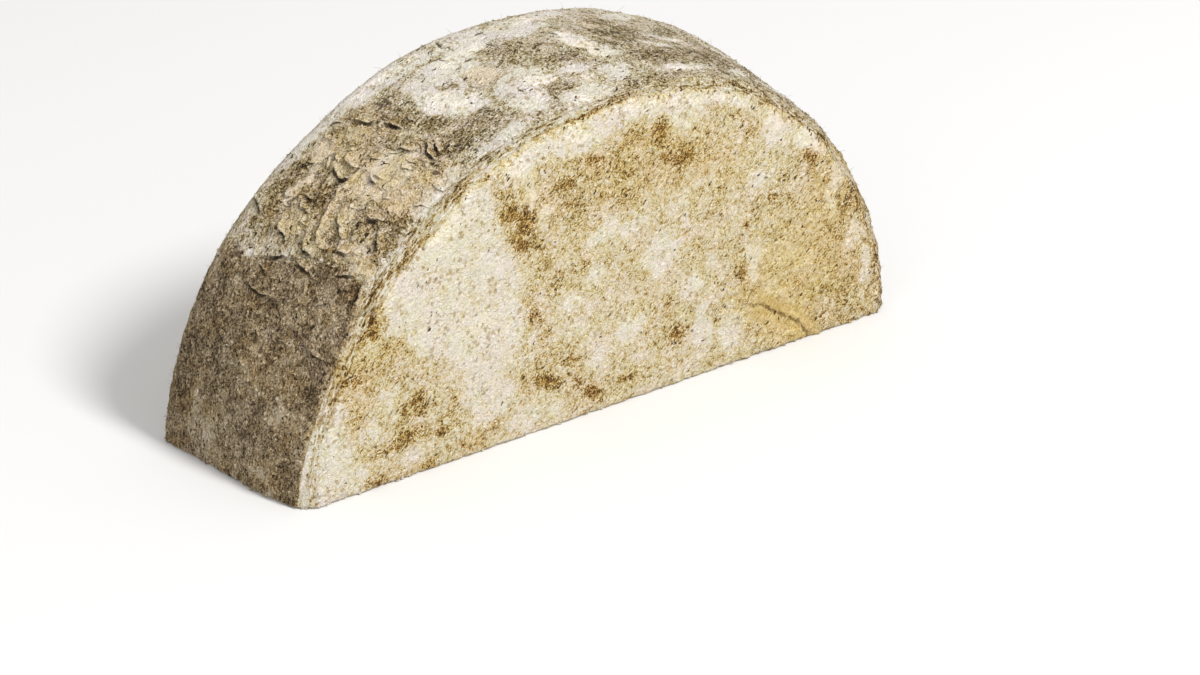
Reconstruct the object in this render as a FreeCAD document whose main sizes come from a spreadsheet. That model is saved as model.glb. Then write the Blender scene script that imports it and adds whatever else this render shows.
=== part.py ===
"""Tomme half wheel: a little under one half of a low, round, natural-rind mountain cheese,
standing on its cut face.

The part's frame: X runs along the cut from one end of the chord to the other, Y is the axis of
the wheel and Z is up. The flat face that was the top of the wheel looks to -Y, the flat face that
it was matured on looks to +Y, and the cut face, with its eyes, lies in the plane Z = 0.
The origin is the centre of the bounding box's underside.

The wheel sagged while it was young, so its rim flares from the top face to the lower face. The rim
and both round edges are one loft through outlines set square to the wheel's axis. Each outline is an
uneven arc, closed by a straight line a little past the cut. The knife, a block with a flat upper
side, then takes away all that lies under Z = 0, so the cut face is a true plane. It went by a little
beside the centre.
"""

import math
import os

import FreeCAD
import Part

SIZES = [
    # alias, millimetres or plain numbers, what it is
    ("top_face_radius", 99.6, "radius of the rim beside the top face"),
    ("base_face_radius", 106.0, "radius of the rim beside the lower face"),
    ("wheel_height", 57.5, "height of the wheel, from flat face to flat face"),
    ("cut_offset", 12.2, "distance of the cut from the wheel's axis"),
    ("past_cut", 6.0, "paste modelled past the cut, which the knife then takes away"),
    ("top_edge_round", 5.0, "rounding between the top face and the rim"),
    ("base_edge_round", 7.8, "rounding between the lower face and the rim"),
    ("flare_rate", 3.2, "how soon below the top face the rim reaches its full width"),
    ("top_lean", -1.4, "flattening of the top outline"),
    ("top_lobe", 1.4, "three-sided unevenness of the top outline"),
    ("base_shift", -1.0, "sideways sag of the lower outline"),
    ("base_lean", 0.3, "flattening of the lower outline"),
    ("base_lobe", 1.8, "three-sided unevenness of the lower outline"),
    ("ripple", 0.45, "height of the small waves round the rim"),
    ("arc_points", 27, "points that each outline runs through"),
    ("round_sections", 4, "outlines in each rounded edge"),
    ("rim_sections", 5, "outlines between the rounded edges"),
    ("eye_count", 16, "larger eyes that the knife opened"),
    ("eye_half_length", 2.9, "half the length of the largest eye"),
    ("eye_half_width", 1.25, "half the width of the largest eye"),
    ("eye_depth", 2.1, "depth of the largest eye"),
    ("eye_margin", 9.0, "clear paste between the eyes and the rind"),
]

doc = FreeCAD.newDocument("tomme_half_wheel")

sheet = doc.addObject("Spreadsheet::Sheet", "Sizes")
for row, (alias, value, meaning) in enumerate(SIZES, start=1):
    sheet.set("A%d" % row, alias)
    sheet.set("B%d" % row, str(value))
    sheet.set("C%d" % row, meaning)
    sheet.setAlias("B%d" % row, alias)
doc.recompute()


def size(alias):
    return float(sheet.get(alias))


def rim_radius(angle, depth):
    """Radius of the rim at an angle from the -X end, at a depth below the top face."""
    height = size("wheel_height")
    top = (
        size("top_face_radius")
        + size("top_lean") * math.cos(2 * angle)
        + size("top_lobe") * math.sin(3 * angle)
    )
    base = (
        size("base_face_radius")
        + size("base_shift") * math.cos(angle)
        + size("base_lean") * math.cos(2 * angle)
        + size("base_lobe") * math.sin(3 * angle)
    )
    rate = size("flare_rate")
    share = (1 - math.exp(-rate * depth / height)) / (1 - math.exp(-rate))
    waves = math.sin(7 * angle + 0.09 * depth) + 0.6 * math.sin(
        11 * angle - 0.13 * depth + 1.0
    )
    return top * (1 - share) + base * share + size("ripple") * waves


def section_depths():
    """Each outline's depth below the top face, and how far the rounded edge draws it in."""
    height = size("wheel_height")
    top, base = size("top_edge_round"), size("base_edge_round")
    steps, between = int(size("round_sections")), int(size("rim_sections"))
    found = []
    for i in range(steps + 1):
        turn = math.pi / 2 * i / steps
        found.append((top * (1 - math.cos(turn)), top * (1 - math.sin(turn))))
    for i in range(1, between + 1):
        found.append((top + (height - top - base) * i / (between + 1), 0.0))
    for i in range(steps + 1):
        turn = math.pi / 2 * i / steps
        found.append(
            (height - base + base * math.sin(turn), base * (1 - math.cos(turn)))
        )
    return found


def outline(depth, drawn_in):
    """One closed outline: the uneven arc, and a straight line a little past the cut."""
    offset, past = size("cut_offset"), size("past_cut")

    def point(angle):
        radius = rim_radius(angle, depth) - drawn_in
        return (
            -radius * math.cos(angle),
            radius * math.sin(angle) - offset,
        )

    def meets_line(low, high):
        """The angle between low, under the line, and high, over it, where the arc meets the line."""
        for _ in range(60):
            middle = (low + high) / 2
            if point(middle)[1] < -past:
                low = middle
            else:
                high = middle
        return (low + high) / 2

    first, last = meets_line(0.0, 0.5), meets_line(math.pi, math.pi - 0.5)
    count = int(size("arc_points"))
    along = depth - size("wheel_height") / 2
    points = []
    for i in range(count):
        x, z = point(first + (last - first) * i / (count - 1))
        if i in (0, count - 1):
            z = -past
        points.append(FreeCAD.Vector(x, along, z))
    arc = Part.BSplineCurve()
    arc.interpolate(points)
    return Part.Wire([arc.toShape(), Part.makeLine(points[-1], points[0])])


# The body of the cheese: a loft through the outlines, centred on the part that stays above the cut.
wires = [outline(depth, drawn_in) for depth, drawn_in in section_depths()]
loft = Part.makeLoft(wires, True, False)
reach = 2 * size("base_face_radius")
above = loft.common(
    Part.makeBox(2 * reach, reach, reach, FreeCAD.Vector(-reach, -reach / 2, 0))
)
box = above.optimalBoundingBox(False)
shift = -(box.XMin + box.XMax) / 2
loft.translate(FreeCAD.Vector(shift, 0, 0))

uncut = doc.addObject("Part::Feature", "Uncut")
uncut.Label = "paste_and_rind"
uncut.Shape = loft

# The knife: its upper side is the plane Z = 0.
knife = doc.addObject("Part::Box", "Knife")
knife.Label = "knife"
knife.setExpression("Length", "Sizes.base_face_radius * 2.4")
knife.setExpression("Width", "Sizes.wheel_height * 1.4")
knife.setExpression("Height", "Sizes.past_cut * 2")
knife.setExpression("Placement.Base.x", "Sizes.base_face_radius * -1.2")
knife.setExpression("Placement.Base.y", "Sizes.wheel_height * -0.7")
knife.setExpression("Placement.Base.z", "Sizes.past_cut * -2")

half = doc.addObject("Part::Cut", "Half")
half.Label = "half_without_eyes"
half.Base = uncut
half.Tool = knife

# The larger eyes in the cut face: flattened bubbles that the knife opened, long along the cut.
eyes = []
count = int(size("eye_count"))
golden = (math.sqrt(5) - 1) / 2
half_chord = math.sqrt(size("top_face_radius") ** 2 - size("cut_offset") ** 2)
for i in range(count):
    eye = doc.addObject("Part::Ellipsoid", "Eye%02d" % (i + 1))
    eye.Label = "eye_%02d" % (i + 1)
    share = 0.45 + 0.55 * ((i * golden * 3) % 1.0)
    eye.setExpression("Radius1", "Sizes.eye_depth * %.3f" % share)
    eye.setExpression("Radius2", "Sizes.eye_half_length * %.3f" % share)
    eye.setExpression("Radius3", "Sizes.eye_half_width * %.3f" % (0.3 + 0.7 * share))
    reach = half_chord - size("eye_margin")
    across = size("wheel_height") / 2 - size("eye_margin")
    x = -reach + 2 * reach * (i + 0.5) / count
    y = across * (2 * ((i * golden + 0.21) % 1.0) - 1)
    turn = 22 * math.sin(2.4 * i)
    eye.Placement = FreeCAD.Placement(
        FreeCAD.Vector(x, y, 0), FreeCAD.Rotation(FreeCAD.Vector(0, 0, 1), turn)
    )
    eyes.append(eye)

opened = doc.addObject("Part::MultiFuse", "Eyes")
opened.Label = "eyes"
opened.Shapes = eyes

cheese = doc.addObject("Part::Cut", "HalfWheel")
cheese.Label = "half_wheel"
cheese.Base = half
cheese.Tool = opened
doc.recompute()

for item in doc.Objects:
    if any(word in item.State for word in ("Invalid", "Error")):
        raise RuntimeError("%s failed: %s" % (item.Label, item.State))

os.makedirs("parts", exist_ok=True)
for item in (cheese,):
    shape = item.Shape
    if shape.isNull() or not shape.isValid() or len(shape.Solids) != 1:
        raise RuntimeError("%s is not one valid solid" % item.Label)
    shape.exportStep("parts/%s.step" % item.Label)
    size_box = shape.optimalBoundingBox(False)
    print(
        item.Label,
        "volume cm3 %.1f" % (shape.Volume / 1000),
        "box mm %.2f %.2f %.2f" % (size_box.XLength, size_box.YLength, size_box.ZLength),
        "from %.2f %.2f %.2f" % (size_box.XMin, size_box.YMin, size_box.ZMin),
    )
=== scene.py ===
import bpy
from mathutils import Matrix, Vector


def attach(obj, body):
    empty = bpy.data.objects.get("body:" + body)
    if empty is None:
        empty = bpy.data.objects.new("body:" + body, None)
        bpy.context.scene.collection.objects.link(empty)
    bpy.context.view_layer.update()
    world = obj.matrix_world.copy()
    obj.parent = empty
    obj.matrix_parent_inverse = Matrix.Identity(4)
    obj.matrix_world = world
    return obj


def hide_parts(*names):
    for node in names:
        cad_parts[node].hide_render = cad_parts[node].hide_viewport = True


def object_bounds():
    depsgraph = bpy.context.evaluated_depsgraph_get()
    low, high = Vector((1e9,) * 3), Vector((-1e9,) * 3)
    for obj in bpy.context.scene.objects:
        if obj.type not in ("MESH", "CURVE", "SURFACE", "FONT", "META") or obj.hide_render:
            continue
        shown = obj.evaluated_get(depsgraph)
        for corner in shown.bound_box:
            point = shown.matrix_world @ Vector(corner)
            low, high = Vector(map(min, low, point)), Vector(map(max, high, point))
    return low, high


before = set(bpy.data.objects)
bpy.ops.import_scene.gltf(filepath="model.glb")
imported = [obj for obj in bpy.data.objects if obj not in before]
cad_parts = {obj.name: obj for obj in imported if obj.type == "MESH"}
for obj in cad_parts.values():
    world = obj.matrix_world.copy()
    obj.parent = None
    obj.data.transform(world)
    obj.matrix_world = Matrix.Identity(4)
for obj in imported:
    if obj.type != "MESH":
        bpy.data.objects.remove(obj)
cad_box = [list(c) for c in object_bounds()]

# Tomme half wheel, standing on its cut face. Lengths in the shape code are millimetres in the row
# frame, and turn into metres when a mesh is made. The angle runs from the -X end over the top to the
# +X end, and the depth runs from the front flat face (0) to the back one (HEIGHT).

import math

import bpy
import numpy as np
import openvdb
from mathutils import Matrix, Vector

HEIGHT, OFFSET = 57.5, 12.2
FRONT_ROUND, BACK_ROUND = 5.0, 7.8
INSET = 0.42      # the mean surface lies this far inside the CAD solid, so that the relief fits in it
VOXEL = 0.56
BODY_TRIANGLES = 198000


# ---------------------------------------------------------------- noise and small helpers

def smooth(low, high, v):
    t = np.clip((v - low) / (high - low), 0.0, 1.0)
    return t * t * (3 - 2 * t)


class Noise:
    """Gradient noise, about -1 to 1."""

    def __init__(self, seed):
        rng = np.random.RandomState(seed)
        self.perm = np.tile(rng.permutation(256), 2).astype(np.int32)
        g = rng.normal(size=(256, 3))
        self.grad = (g / np.linalg.norm(g, axis=1, keepdims=True)).astype(np.float32)

    def __call__(self, p, size):
        q = np.asarray(p, np.float32) / np.float32(size)
        i = np.floor(q).astype(np.int32)
        f = q - i
        i &= 255
        w = f * f * f * (f * (f * 6 - 15) + 10)
        total = 0
        for cx in (0, 1):
            a = self.perm[(i[:, 0] + cx) & 255]
            wx = w[:, 0] if cx else 1 - w[:, 0]
            for cy in (0, 1):
                b = self.perm[(a + i[:, 1] + cy) & 255]
                wy = w[:, 1] if cy else 1 - w[:, 1]
                for cz in (0, 1):
                    g = self.grad[self.perm[(b + i[:, 2] + cz) & 255]]
                    wz = w[:, 2] if cz else 1 - w[:, 2]
                    d = (
                        g[:, 0] * (f[:, 0] - cx)
                        + g[:, 1] * (f[:, 1] - cy)
                        + g[:, 2] * (f[:, 2] - cz)
                    )
                    total = total + wx * wy * wz * d
        return total * 1.7

    def octaves(self, p, size, count, gain=0.5):
        total, share, weight = 0, 1.0, 0.0
        for k in range(count):
            total = total + share * self(p + 37.1 * k, size / 2**k)
            weight += share
            share *= gain
        return total / weight


NOISE = [Noise(100 + k) for k in range(8)]


# ---------------------------------------------------------------- the wheel's shape

def rim_radius(a, depth):
    top = 99.6 - 1.4 * np.cos(2 * a) + 1.4 * np.sin(3 * a)
    base = 106.0 - 1.0 * np.cos(a) + 0.3 * np.cos(2 * a) + 1.8 * np.sin(3 * a)
    share = (1 - np.exp(-3.2 * depth / HEIGHT)) / (1 - math.exp(-3.2))
    waves = np.sin(7 * a + 0.09 * depth) + 0.6 * np.sin(11 * a - 0.13 * depth + 1.0)
    return top * (1 - share) + base * share + 0.45 * waves


def centring_shift():
    a = np.linspace(0, math.pi, 4001)[None, :]
    depth = np.linspace(0, HEIGHT, 401)[:, None]
    t = np.clip((depth - (HEIGHT - BACK_ROUND)) / BACK_ROUND, 0, 1)
    s = np.clip((FRONT_ROUND - depth) / FRONT_ROUND, 0, 1)
    drawn = BACK_ROUND * (1 - np.sqrt(1 - t * t)) + FRONT_ROUND * (1 - np.sqrt(1 - s * s))
    r = rim_radius(a, depth) - drawn
    x = -r * np.cos(a)
    x = x[(r * np.sin(a) - OFFSET) >= 0]
    return -(x.min() + x.max()) / 2


SHIFT = centring_shift()


def polar(p):
    """The angle, radius and depth of points in the row frame."""
    x, z = p[:, 0] - SHIFT, p[:, 2] + OFFSET
    return np.arctan2(z, -x), np.hypot(x, z), p[:, 1] + HEIGHT / 2


def rind_distance(p):
    """Distance outside the rind's mean surface, below 0 inside. The cut isn't in it."""
    a, r, depth = polar(p)
    side = r - rim_radius(a, np.clip(depth, 0, HEIGHT))
    front = depth < HEIGHT / 2
    flat = np.where(front, -depth, depth - HEIGHT)
    rho = np.where(front, FRONT_ROUND, BACK_ROUND)
    u, v = side + rho, flat + rho
    return np.hypot(np.maximum(u, 0), np.maximum(v, 0)) + np.minimum(np.maximum(u, v), 0) - rho + INSET


def rind_normal(p):
    e = 0.2
    n = np.stack(
        [
            rind_distance(p + [e, 0, 0]) - rind_distance(p - [e, 0, 0]),
            rind_distance(p + [0, e, 0]) - rind_distance(p - [0, e, 0]),
            rind_distance(p + [0, 0, e]) - rind_distance(p - [0, 0, e]),
        ],
        -1,
    )
    return n / np.maximum(np.linalg.norm(n, axis=1, keepdims=True), 1e-9)


def cut_eyes():
    """The eyes in the cut face: centre x, y, half length, half width, depth, turn."""
    found = []
    golden = (math.sqrt(5) - 1) / 2
    reach = math.sqrt(99.6**2 - OFFSET**2) - 9
    across = HEIGHT / 2 - 9
    for i in range(16):
        share = 0.45 + 0.55 * ((i * golden * 3) % 1.0)
        found.append(
            (
                -reach + 2 * reach * (i + 0.5) / 16,
                across * (2 * ((i * golden + 0.21) % 1.0) - 1),
                2.9 * share,
                1.25 * (0.3 + 0.7 * share),
                2.1 * share,
                math.radians(22 * math.sin(2.4 * i)),
            )
        )
    rng = np.random.RandomState(7)
    while len(found) < 130:
        x, y = rng.uniform(-92, 92), rng.uniform(-21, 21)
        half = 0.45 + 1.5 * rng.rand() ** 2.2
        if min(math.hypot((x - e[0]) * 0.8, y - e[1]) - e[2] for e in found) < half + 0.8:
            continue
        found.append((x, y, half, half * rng.uniform(0.35, 0.8), half * rng.uniform(0.6, 1.1), rng.uniform(-0.5, 0.5)))
    return found


EYES = cut_eyes()


def body_grid():
    """The signed distance on a grid, and the grid's lowest corner."""
    low = np.array([-107.0, -29.6, -1.2])
    shape = np.ceil((np.array([107.0, 29.6, 93.0]) - low) / VOXEL).astype(int) + 1
    axes = [low[k] + VOXEL * np.arange(shape[k]) for k in range(3)]
    grid = np.empty(shape, np.float32)
    for i, x in enumerate(axes[0]):
        y, z = np.meshgrid(axes[1], axes[2], indexing="ij")
        p = np.stack([np.full(y.size, x), y.ravel(), z.ravel()], -1)
        d = np.maximum(rind_distance(p), -p[:, 2])
        grid[i] = d.reshape(y.shape)
    for x, y, long, wide, deep, turn in EYES:
        spans = []
        for k, (c, reach) in enumerate(((x, long), (y, long), (0.0, deep))):
            a = max(0, int((c - reach - 2.0 - low[k]) / VOXEL))
            b = min(shape[k], int((c + reach + 2.0 - low[k]) / VOXEL) + 2)
            spans.append(slice(a, b))
        gx, gy, gz = np.meshgrid(*[axes[k][spans[k]] for k in range(3)], indexing="ij")
        q = np.stack([gx.ravel(), gy.ravel(), gz.ravel()], -1)
        w = NOISE[0](q, 2.2) * 0.45
        dx, dy = q[:, 0] - x, q[:, 1] - y
        u = (dx * math.cos(turn) + dy * math.sin(turn)) / long
        v = (-dx * math.sin(turn) + dy * math.cos(turn)) / wide
        s = q[:, 2] / deep
        d = (np.sqrt(u * u + v * v + s * s) - 1 + w) * min(wide, deep)
        box = grid[spans[0], spans[1], spans[2]]
        np.maximum(box, -d.reshape(box.shape).astype(np.float32), out=box)
    return np.clip(grid, -3 * VOXEL, 3 * VOXEL), low


# ---------------------------------------------------------------- listed marks

def path_distance(u, v, path):
    """Distance to an open line of points, and on which side of it: above 0 on its left."""
    best, side = np.full_like(u, 1e9), np.zeros_like(u)
    for (au, av), (bu, bv) in zip(path, path[1:]):
        lu, lv = bu - au, bv - av
        t = np.clip(((u - au) * lu + (v - av) * lv) / (lu * lu + lv * lv), 0, 1)
        du, dv = u - (au + t * lu), v - (av + t * lv)
        d = np.hypot(du, dv)
        near = d < best
        best = np.where(near, d, best)
        side = np.where(near, np.sign(lu * dv - lv * du), side)
    return best, side


def ovals(u, v, marks, soft):
    """A field over 0 inside any of the ovals, in steps of soft mm: centre, half sizes, turn, strength."""
    field = np.full_like(u, -1.0)
    for cu, cv, ru, rv, turn, strength in marks:
        t = math.radians(turn)
        du, dv = u - cu, v - cv
        q = np.hypot((du * math.cos(t) + dv * math.sin(t)) / ru, (-du * math.sin(t) + dv * math.cos(t)) / rv)
        field = np.maximum(field, np.clip((1 - q) * math.sqrt(ru * rv) / soft, -1, 1) - (1 - strength) * 0.9)
    return field


def outline_field(u, v, points, soft):
    """The same kind of field for a closed outline."""
    dist, _ = path_distance(u, v, points + [points[0]])
    inside = np.zeros(len(u), bool)
    for (au, av), (bu, bv) in zip(points, points[1:] + [points[0]]):
        if av == bv:
            continue
        inside ^= ((av > v) != (bv > v)) & (u < (bu - au) * (v - av) / (bv - av) + au)
    return np.clip(np.where(inside, dist, -dist) / soft, -1, 1)


def soft_ovals(u, v, marks):
    """0 to 1, fading out slowly."""
    rest = np.ones_like(u)
    for cu, cv, ru, rv, turn, strength in marks:
        t = math.radians(turn)
        du, dv = u - cu, v - cv
        q = np.hypot((du * math.cos(t) + dv * math.sin(t)) / ru, (-du * math.sin(t) + dv * math.cos(t)) / rv)
        rest *= 1 - strength * (1 - smooth(0.3, 1.3, q))
    return 1 - rest


# front face, in mm: x across, z up
FRONT_PALE_OUTLINES = [
    [(-81, 53), (-70, 64), (-60, 72), (-50, 77), (-43, 73), (-40.5, 64), (-39, 58), (-35, 51), (-33, 44), (-31, 36),
     (-30, 30), (-34, 25), (-37, 18), (-38, 9), (-43, 6.5), (-48, 9), (-48.5, 16), (-50, 24), (-56, 29), (-64, 33.5),
     (-70, 38), (-75, 42)],
    [(-106, -2), (-104, 9), (-99, 17), (-94, 27), (-88.5, 32), (-87, 27), (-89, 18), (-86, 13), (-82, 10), (-80, 4), (-80, -2)],
    [(-43, 72), (-36, 79), (-28, 81), (-15, 83.5), (0, 86), (10, 84.5), (20, 82), (30, 81), (38, 79), (45, 75), (44, 71.5),
     (38, 74), (31, 77), (23, 74), (19, 72.5), (14, 77), (8, 79), (2, 79), (-4, 77), (-8, 74), (-10, 76.5), (-15, 73),
     (-21, 74), (-24, 76.5), (-29, 74.5), (-33, 72), (-38, 71)],
]
FRONT_PALE = [
    (-15, 34, 3.4, 2.6, 0, 0.9), (-15, 27, 4.5, 3, 10, 0.8), (-6, 51, 7, 3, 20, 0.8), (-15, 53, 4, 2.4, 0, 0.7),
    (14, 40, 8, 8, 30, 0.62), (5, 50, 7, 3, 10, 0.6), (4, 21, 6, 6, 0, 0.72), (-6, 17, 4, 6, 10, 0.75), (-29, 5, 7, 4, 0, 0.85),
    (30, 15, 5, 9, 10, 0.6), (41, 11, 5, 7, 0, 0.75), (47, 29, 4, 5.5, 8, 0.9), (48, 52, 4, 3, -20, 0.9), (53, 64, 6, 4, -35, 0.9),
    (65, 58, 9, 3, -40, 0.95), (75, 46, 5, 6, -50, 0.85), (84, 27, 4, 7, -15, 0.8), (89, 16, 2.6, 9, 8, 0.8), (26, 27, 6, 4, 20, 0.6),
    (33, 33, 5, 3, 20, 0.5), (-6, 63, 2.6, 2, 0, 0.95), (-9, 40, 4, 3, 0, 0.7), (-65, 6, 5, 2.4, 0, 0.7), (-80, 16, 5, 4, -20, 0.65),
    (-75, 14, 4, 2, 0, 0.5), (11, 65, 2.4, 1.6, 0, 0.9), (27, 57, 3, 2, 0, 0.7), (36, 58, 4, 2, 0, 0.5), (-36, 14, 3, 6, 0, 0.8),
    (-1, 8, 3, 2, 0, 0.5), (-20, 5, 5, 3, 10, 0.7), (76, 9, 3, 2, 0, 0.6), (22, 48, 4, 3, 0, 0.5), (-75, 29, 3, 3, 0, 0.3),
]
FRONT_POWDER = [
    (-36, 75.5, 3.4, 2.8, 0, 1.0), (-30.5, 67.5, 3.2, 2.6, -40, 1.0), (-29.5, 70.5, 2, 2.4, 0, 0.9), (-25.5, 61.5, 1.7, 1.9, 0, 1.0),
    (-57, 64, 5, 3.4, 40, 0.9), (-16, 79, 4.4, 3, 0, 0.85), (3, 83, 4, 2.4, 0, 0.8), (14, 81.5, 6, 1.6, -10, 0.85),
    (23, 79.5, 3, 1.6, 0, 0.8), (34, 78, 5, 1.4, -10, 0.7), (53, 66.5, 4.4, 2.6, -38, 0.9), (66, 57.5, 7, 1.8, -40, 0.9),
    (74.5, 39, 2, 4.2, 20, 0.95), (83, 26, 1.4, 4, 0, 0.75), (47.5, 53, 2.6, 2, 0, 0.75), (-45, 36, 5, 3, 20, 0.65),
    (-15, 34, 2, 1.4, 0, 0.8), (-75, 51, 3, 1.6, 45, 0.8), (-92, 20, 1.6, 6, 15, 0.7), (-50, 67, 4, 3, 0, 0.5), (-26, 3, 3, 2, 0, 0.6),
    (47, 28, 2, 3, 0, 0.6), (70.5, 53, 2.4, 1.4, -45, 0.7), (-70, 48.5, 2, 1.4, 0, 0.55), (-38, 33, 3, 2.4, 0, 0.55),
]
FRONT_BROWN_OUTLINES = [
    [(-28, 73), (-20, 72), (-13, 73), (-5, 77), (0, 77), (4, 78.5), (12, 77.5), (16, 73), (20, 70), (30, 69.5), (31, 64),
     (20, 61), (10, 60), (0, 57), (-9, 56), (-17, 54), (-24, 58), (-27, 66)],
]
FRONT_BROWN = [
    (-36, 67, 4.6, 7.5, 20, 1.0), (-32, 58.5, 4, 8.5, 25, 1.0), (-79, 45, 3.6, 7, 20, 0.95), (-86, 36, 3, 9, 25, 0.9),
    (-80, 33, 6, 8, 0, 0.72), (-84, 23, 3.6, 7, 10, 0.8), (-73, 38, 5, 2, -20, 0.7), (-65, 19, 6.5, 4, 15, 0.9), (-70, 28, 4, 6, 10, 0.6),
    (-65, 10.5, 15, 2.4, 3, 1.0), (-53, 12, 4, 5, 0, 0.7), (-76, 2, 6, 2, 0, 0.85), (-60, 2, 3, 1.6, 0, 0.9), (-45, 4, 6, 3, 10, 0.85),
    (-25, 47, 4, 3, 0, 0.7), (-19, 41, 7, 3, 15, 0.75), (-13, 45, 4, 3, 0, 0.6), (-27, 33.5, 3, 3, 0, 0.95), (-28, 42, 1.6, 2.4, 0, 0.85),
    (-24, 27, 1.8, 3.6, 20, 0.8), (-23, 16, 7, 4.6, -12, 1.0), (-15, 19, 6, 3, -10, 0.95), (-14, 12, 4, 5, 20, 0.9), (-7, 6, 4, 3, -40, 1.0),
    (5, 6, 9, 2.6, -4, 0.8), (16, 16, 5, 3, 0, 0.75), (21, 14.5, 2.6, 2.2, 0, 1.0), (17, 25, 3, 2, 0, 0.7), (43, 27.5, 2.2, 6.4, 4, 0.85),
    (55, 47, 5, 4, 0, 0.8), (65, 53, 6, 3.6, -38, 0.8), (72, 46, 2, 3.4, 0, 0.85), (83, 37.5, 5, 4.6, -15, 1.0), (88, 31, 2.4, 4, -20, 0.8), (93, 22, 1.6, 5, 5, 0.8), (67, 53, 5, 4, -38, 0.8), (76, 31, 3, 2, 0, 0.7), (90, 8, 2, 4, 0, 0.8), (24, 48, 2.4, 3.4, 0, 0.55),
    (37, 55, 6, 3, 0, 0.7), (44, 67, 6, 3, -15, 0.7), (37, 73, 6, 1.6, -20, 0.6), (60, 37, 3, 3, 0, 0.6), (33, 18, 4, 2, 0, 0.6),
    (79, 17, 4, 3, 0, 0.6), (64, 17.5, 5, 2.4, -10, 0.7), (45, 43, 1.6, 4, 10, 0.6), (-4, 34, 3, 2, 0, 0.5), (85, 9, 4, 3, 0, 0.5),
    (93, 13, 1.4, 9, 6, 0.8), (-12.5, 85.5, 3.6, 1.4, -6, 1.0), (7, 86.5, 8, 1.4, -6, 0.85), (60, 2, 10, 1.6, 0, 0.6), (29, 76.5, 8, 0.8, -3, 0.7),
    (1, 36, 4, 2, 0, 0.4), (39, 35, 3, 1.6, 0, 0.5), (84, 25, 1.6, 3, 0, 0.7),
]
FRONT_DEEP = [
    (-31.5, 60, 3, 4, 30, 0.95), (-37, 64, 3, 3, 0, 0.8), (12, 74, 3, 3, -30, 0.75), (21, 65, 4.6, 1.4, 0, 0.95), (14, 66, 3, 1.4, 0, 0.8),
    (-10, 72, 5, 1.6, -10, 0.65), (-19, 67, 3, 1.6, 0, 0.8), (-17, 62, 3, 1, 0, 0.7), (29, 62, 3, 1.0, 0, 0.8), (-79, 44, 1.6, 4, 15, 0.7),
    (-89, 35, 1.4, 4, 25, 1.0), (-66, 20.5, 4, 1.4, 30, 0.9), (-67, 12.5, 4, 1.4, 10, 0.85), (-72, 9.6, 5, 1.0, 0, 0.9), (-58, 9.8, 3, 1, 0, 0.8),
    (-62, 2, 3.4, 1.4, 0, 0.8), (-78, 2, 3, 1, 0, 0.7), (-27, 33, 2, 1.4, 0, 0.9), (-23, 14, 4, 2, -20, 0.85), (-15, 17, 3, 1.4, -20, 0.8),
    (-11.5, 9.5, 2.6, 1, -50, 0.9), (-6.5, 5.6, 3, 1.6, -30, 1.0), (4, 7, 4, 1, -5, 0.7), (21, 14.5, 1.8, 1.6, 0, 1.0), (43, 26, 1.2, 4, 5, 0.6),
    (86, 37, 2.8, 2.6, -40, 1.0), (88.5, 33, 1.4, 2.4, -20, 0.9), (66, 54, 3, 1.6, -38, 0.8), (92.6, 20, 0.9, 3, 5, 0.8), (-33, 56, 2.4, 3.6, 30, 0.9), (-84, 31, 2, 2.4, 0, 0.7), (-63, 18, 2.6, 1.4, 10, 0.8), (81, 37.6, 2, 1.6, 0, 0.7), (-13.5, 85.6, 2.6, 0.9, -6, 1.0), (54, 45, 3, 1.4, 0, 0.6), (44, 40, 1, 3, 10, 0.6),
    (17, 24.4, 1.6, 1, 0, 0.8), (78, 38, 1, 1, 0, 0.6),
]
FRONT_MUSTARD = [
    (64, 22, 24, 20, 0, 0.8), (60, 8, 14, 8, -34, 0.9), (74, 44, 12, 12, 0, 0.5), (10, 66, 26, 12, -6, 0.4), (-83, 34, 8, 14, 0, 0.35),
    (-73, 37, 6, 2, 0, 0.5), (-45, 4, 6, 3, 0, 0.5), (34, 60, 12, 8, 0, 0.35),
]
# single marks on the front: x, z, half length, half width, turn
FRONT_SPECKS = [
    (-58.4, 36.6, 1.25, 0.34, 38), (-64.5, 43.5, 0.55, 0.45, 0), (-61, 44, 0.4, 0.3, 0), (-62, 40.8, 0.4, 0.3, 20), (-56, 28.9, 0.4, 0.3, 0),
    (43, 37.2, 0.9, 0.36, -50), (29.5, 38.6, 0.7, 0.3, -50), (-78, 11.8, 0.8, 0.6, 0), (-84, 3.4, 0.6, 0.5, 0), (-87, 4.6, 0.5, 0.4, 0),
    (56.5, 49.4, 0.5, 0.5, 0), (38.5, 61.7, 0.5, 0.4, 0), (46.6, 65, 0.5, 0.3, -40), (10.5, 30.8, 0.5, 0.3, 0), (17, 48, 0.5, 0.4, 0),
    (26.8, 14, 0.6, 0.5, 0), (20.5, 12.2, 1.2, 0.5, -20), (-76.6, 0.9, 0.6, 0.5, 0), (63, 41.5, 0.3, 0.8, 0), (-8, 62.8, 0.5, 0.5, 0),
    (-26, 2.8, 0.5, 0.5, 0), (36.8, 3.8, 0.3, 0.5, 0), (-8.2, 47.3, 0.5, 0.4, 0), (91, 13.3, 0.5, 0.5, 0), (88.6, 24, 0.3, 0.6, 20),
    (-31.4, 6.8, 0.45, 0.4, 0), (82, 21.5, 0.6, 0.4, 0), (50, 51.8, 0.9, 0.4, -10),
]
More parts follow.
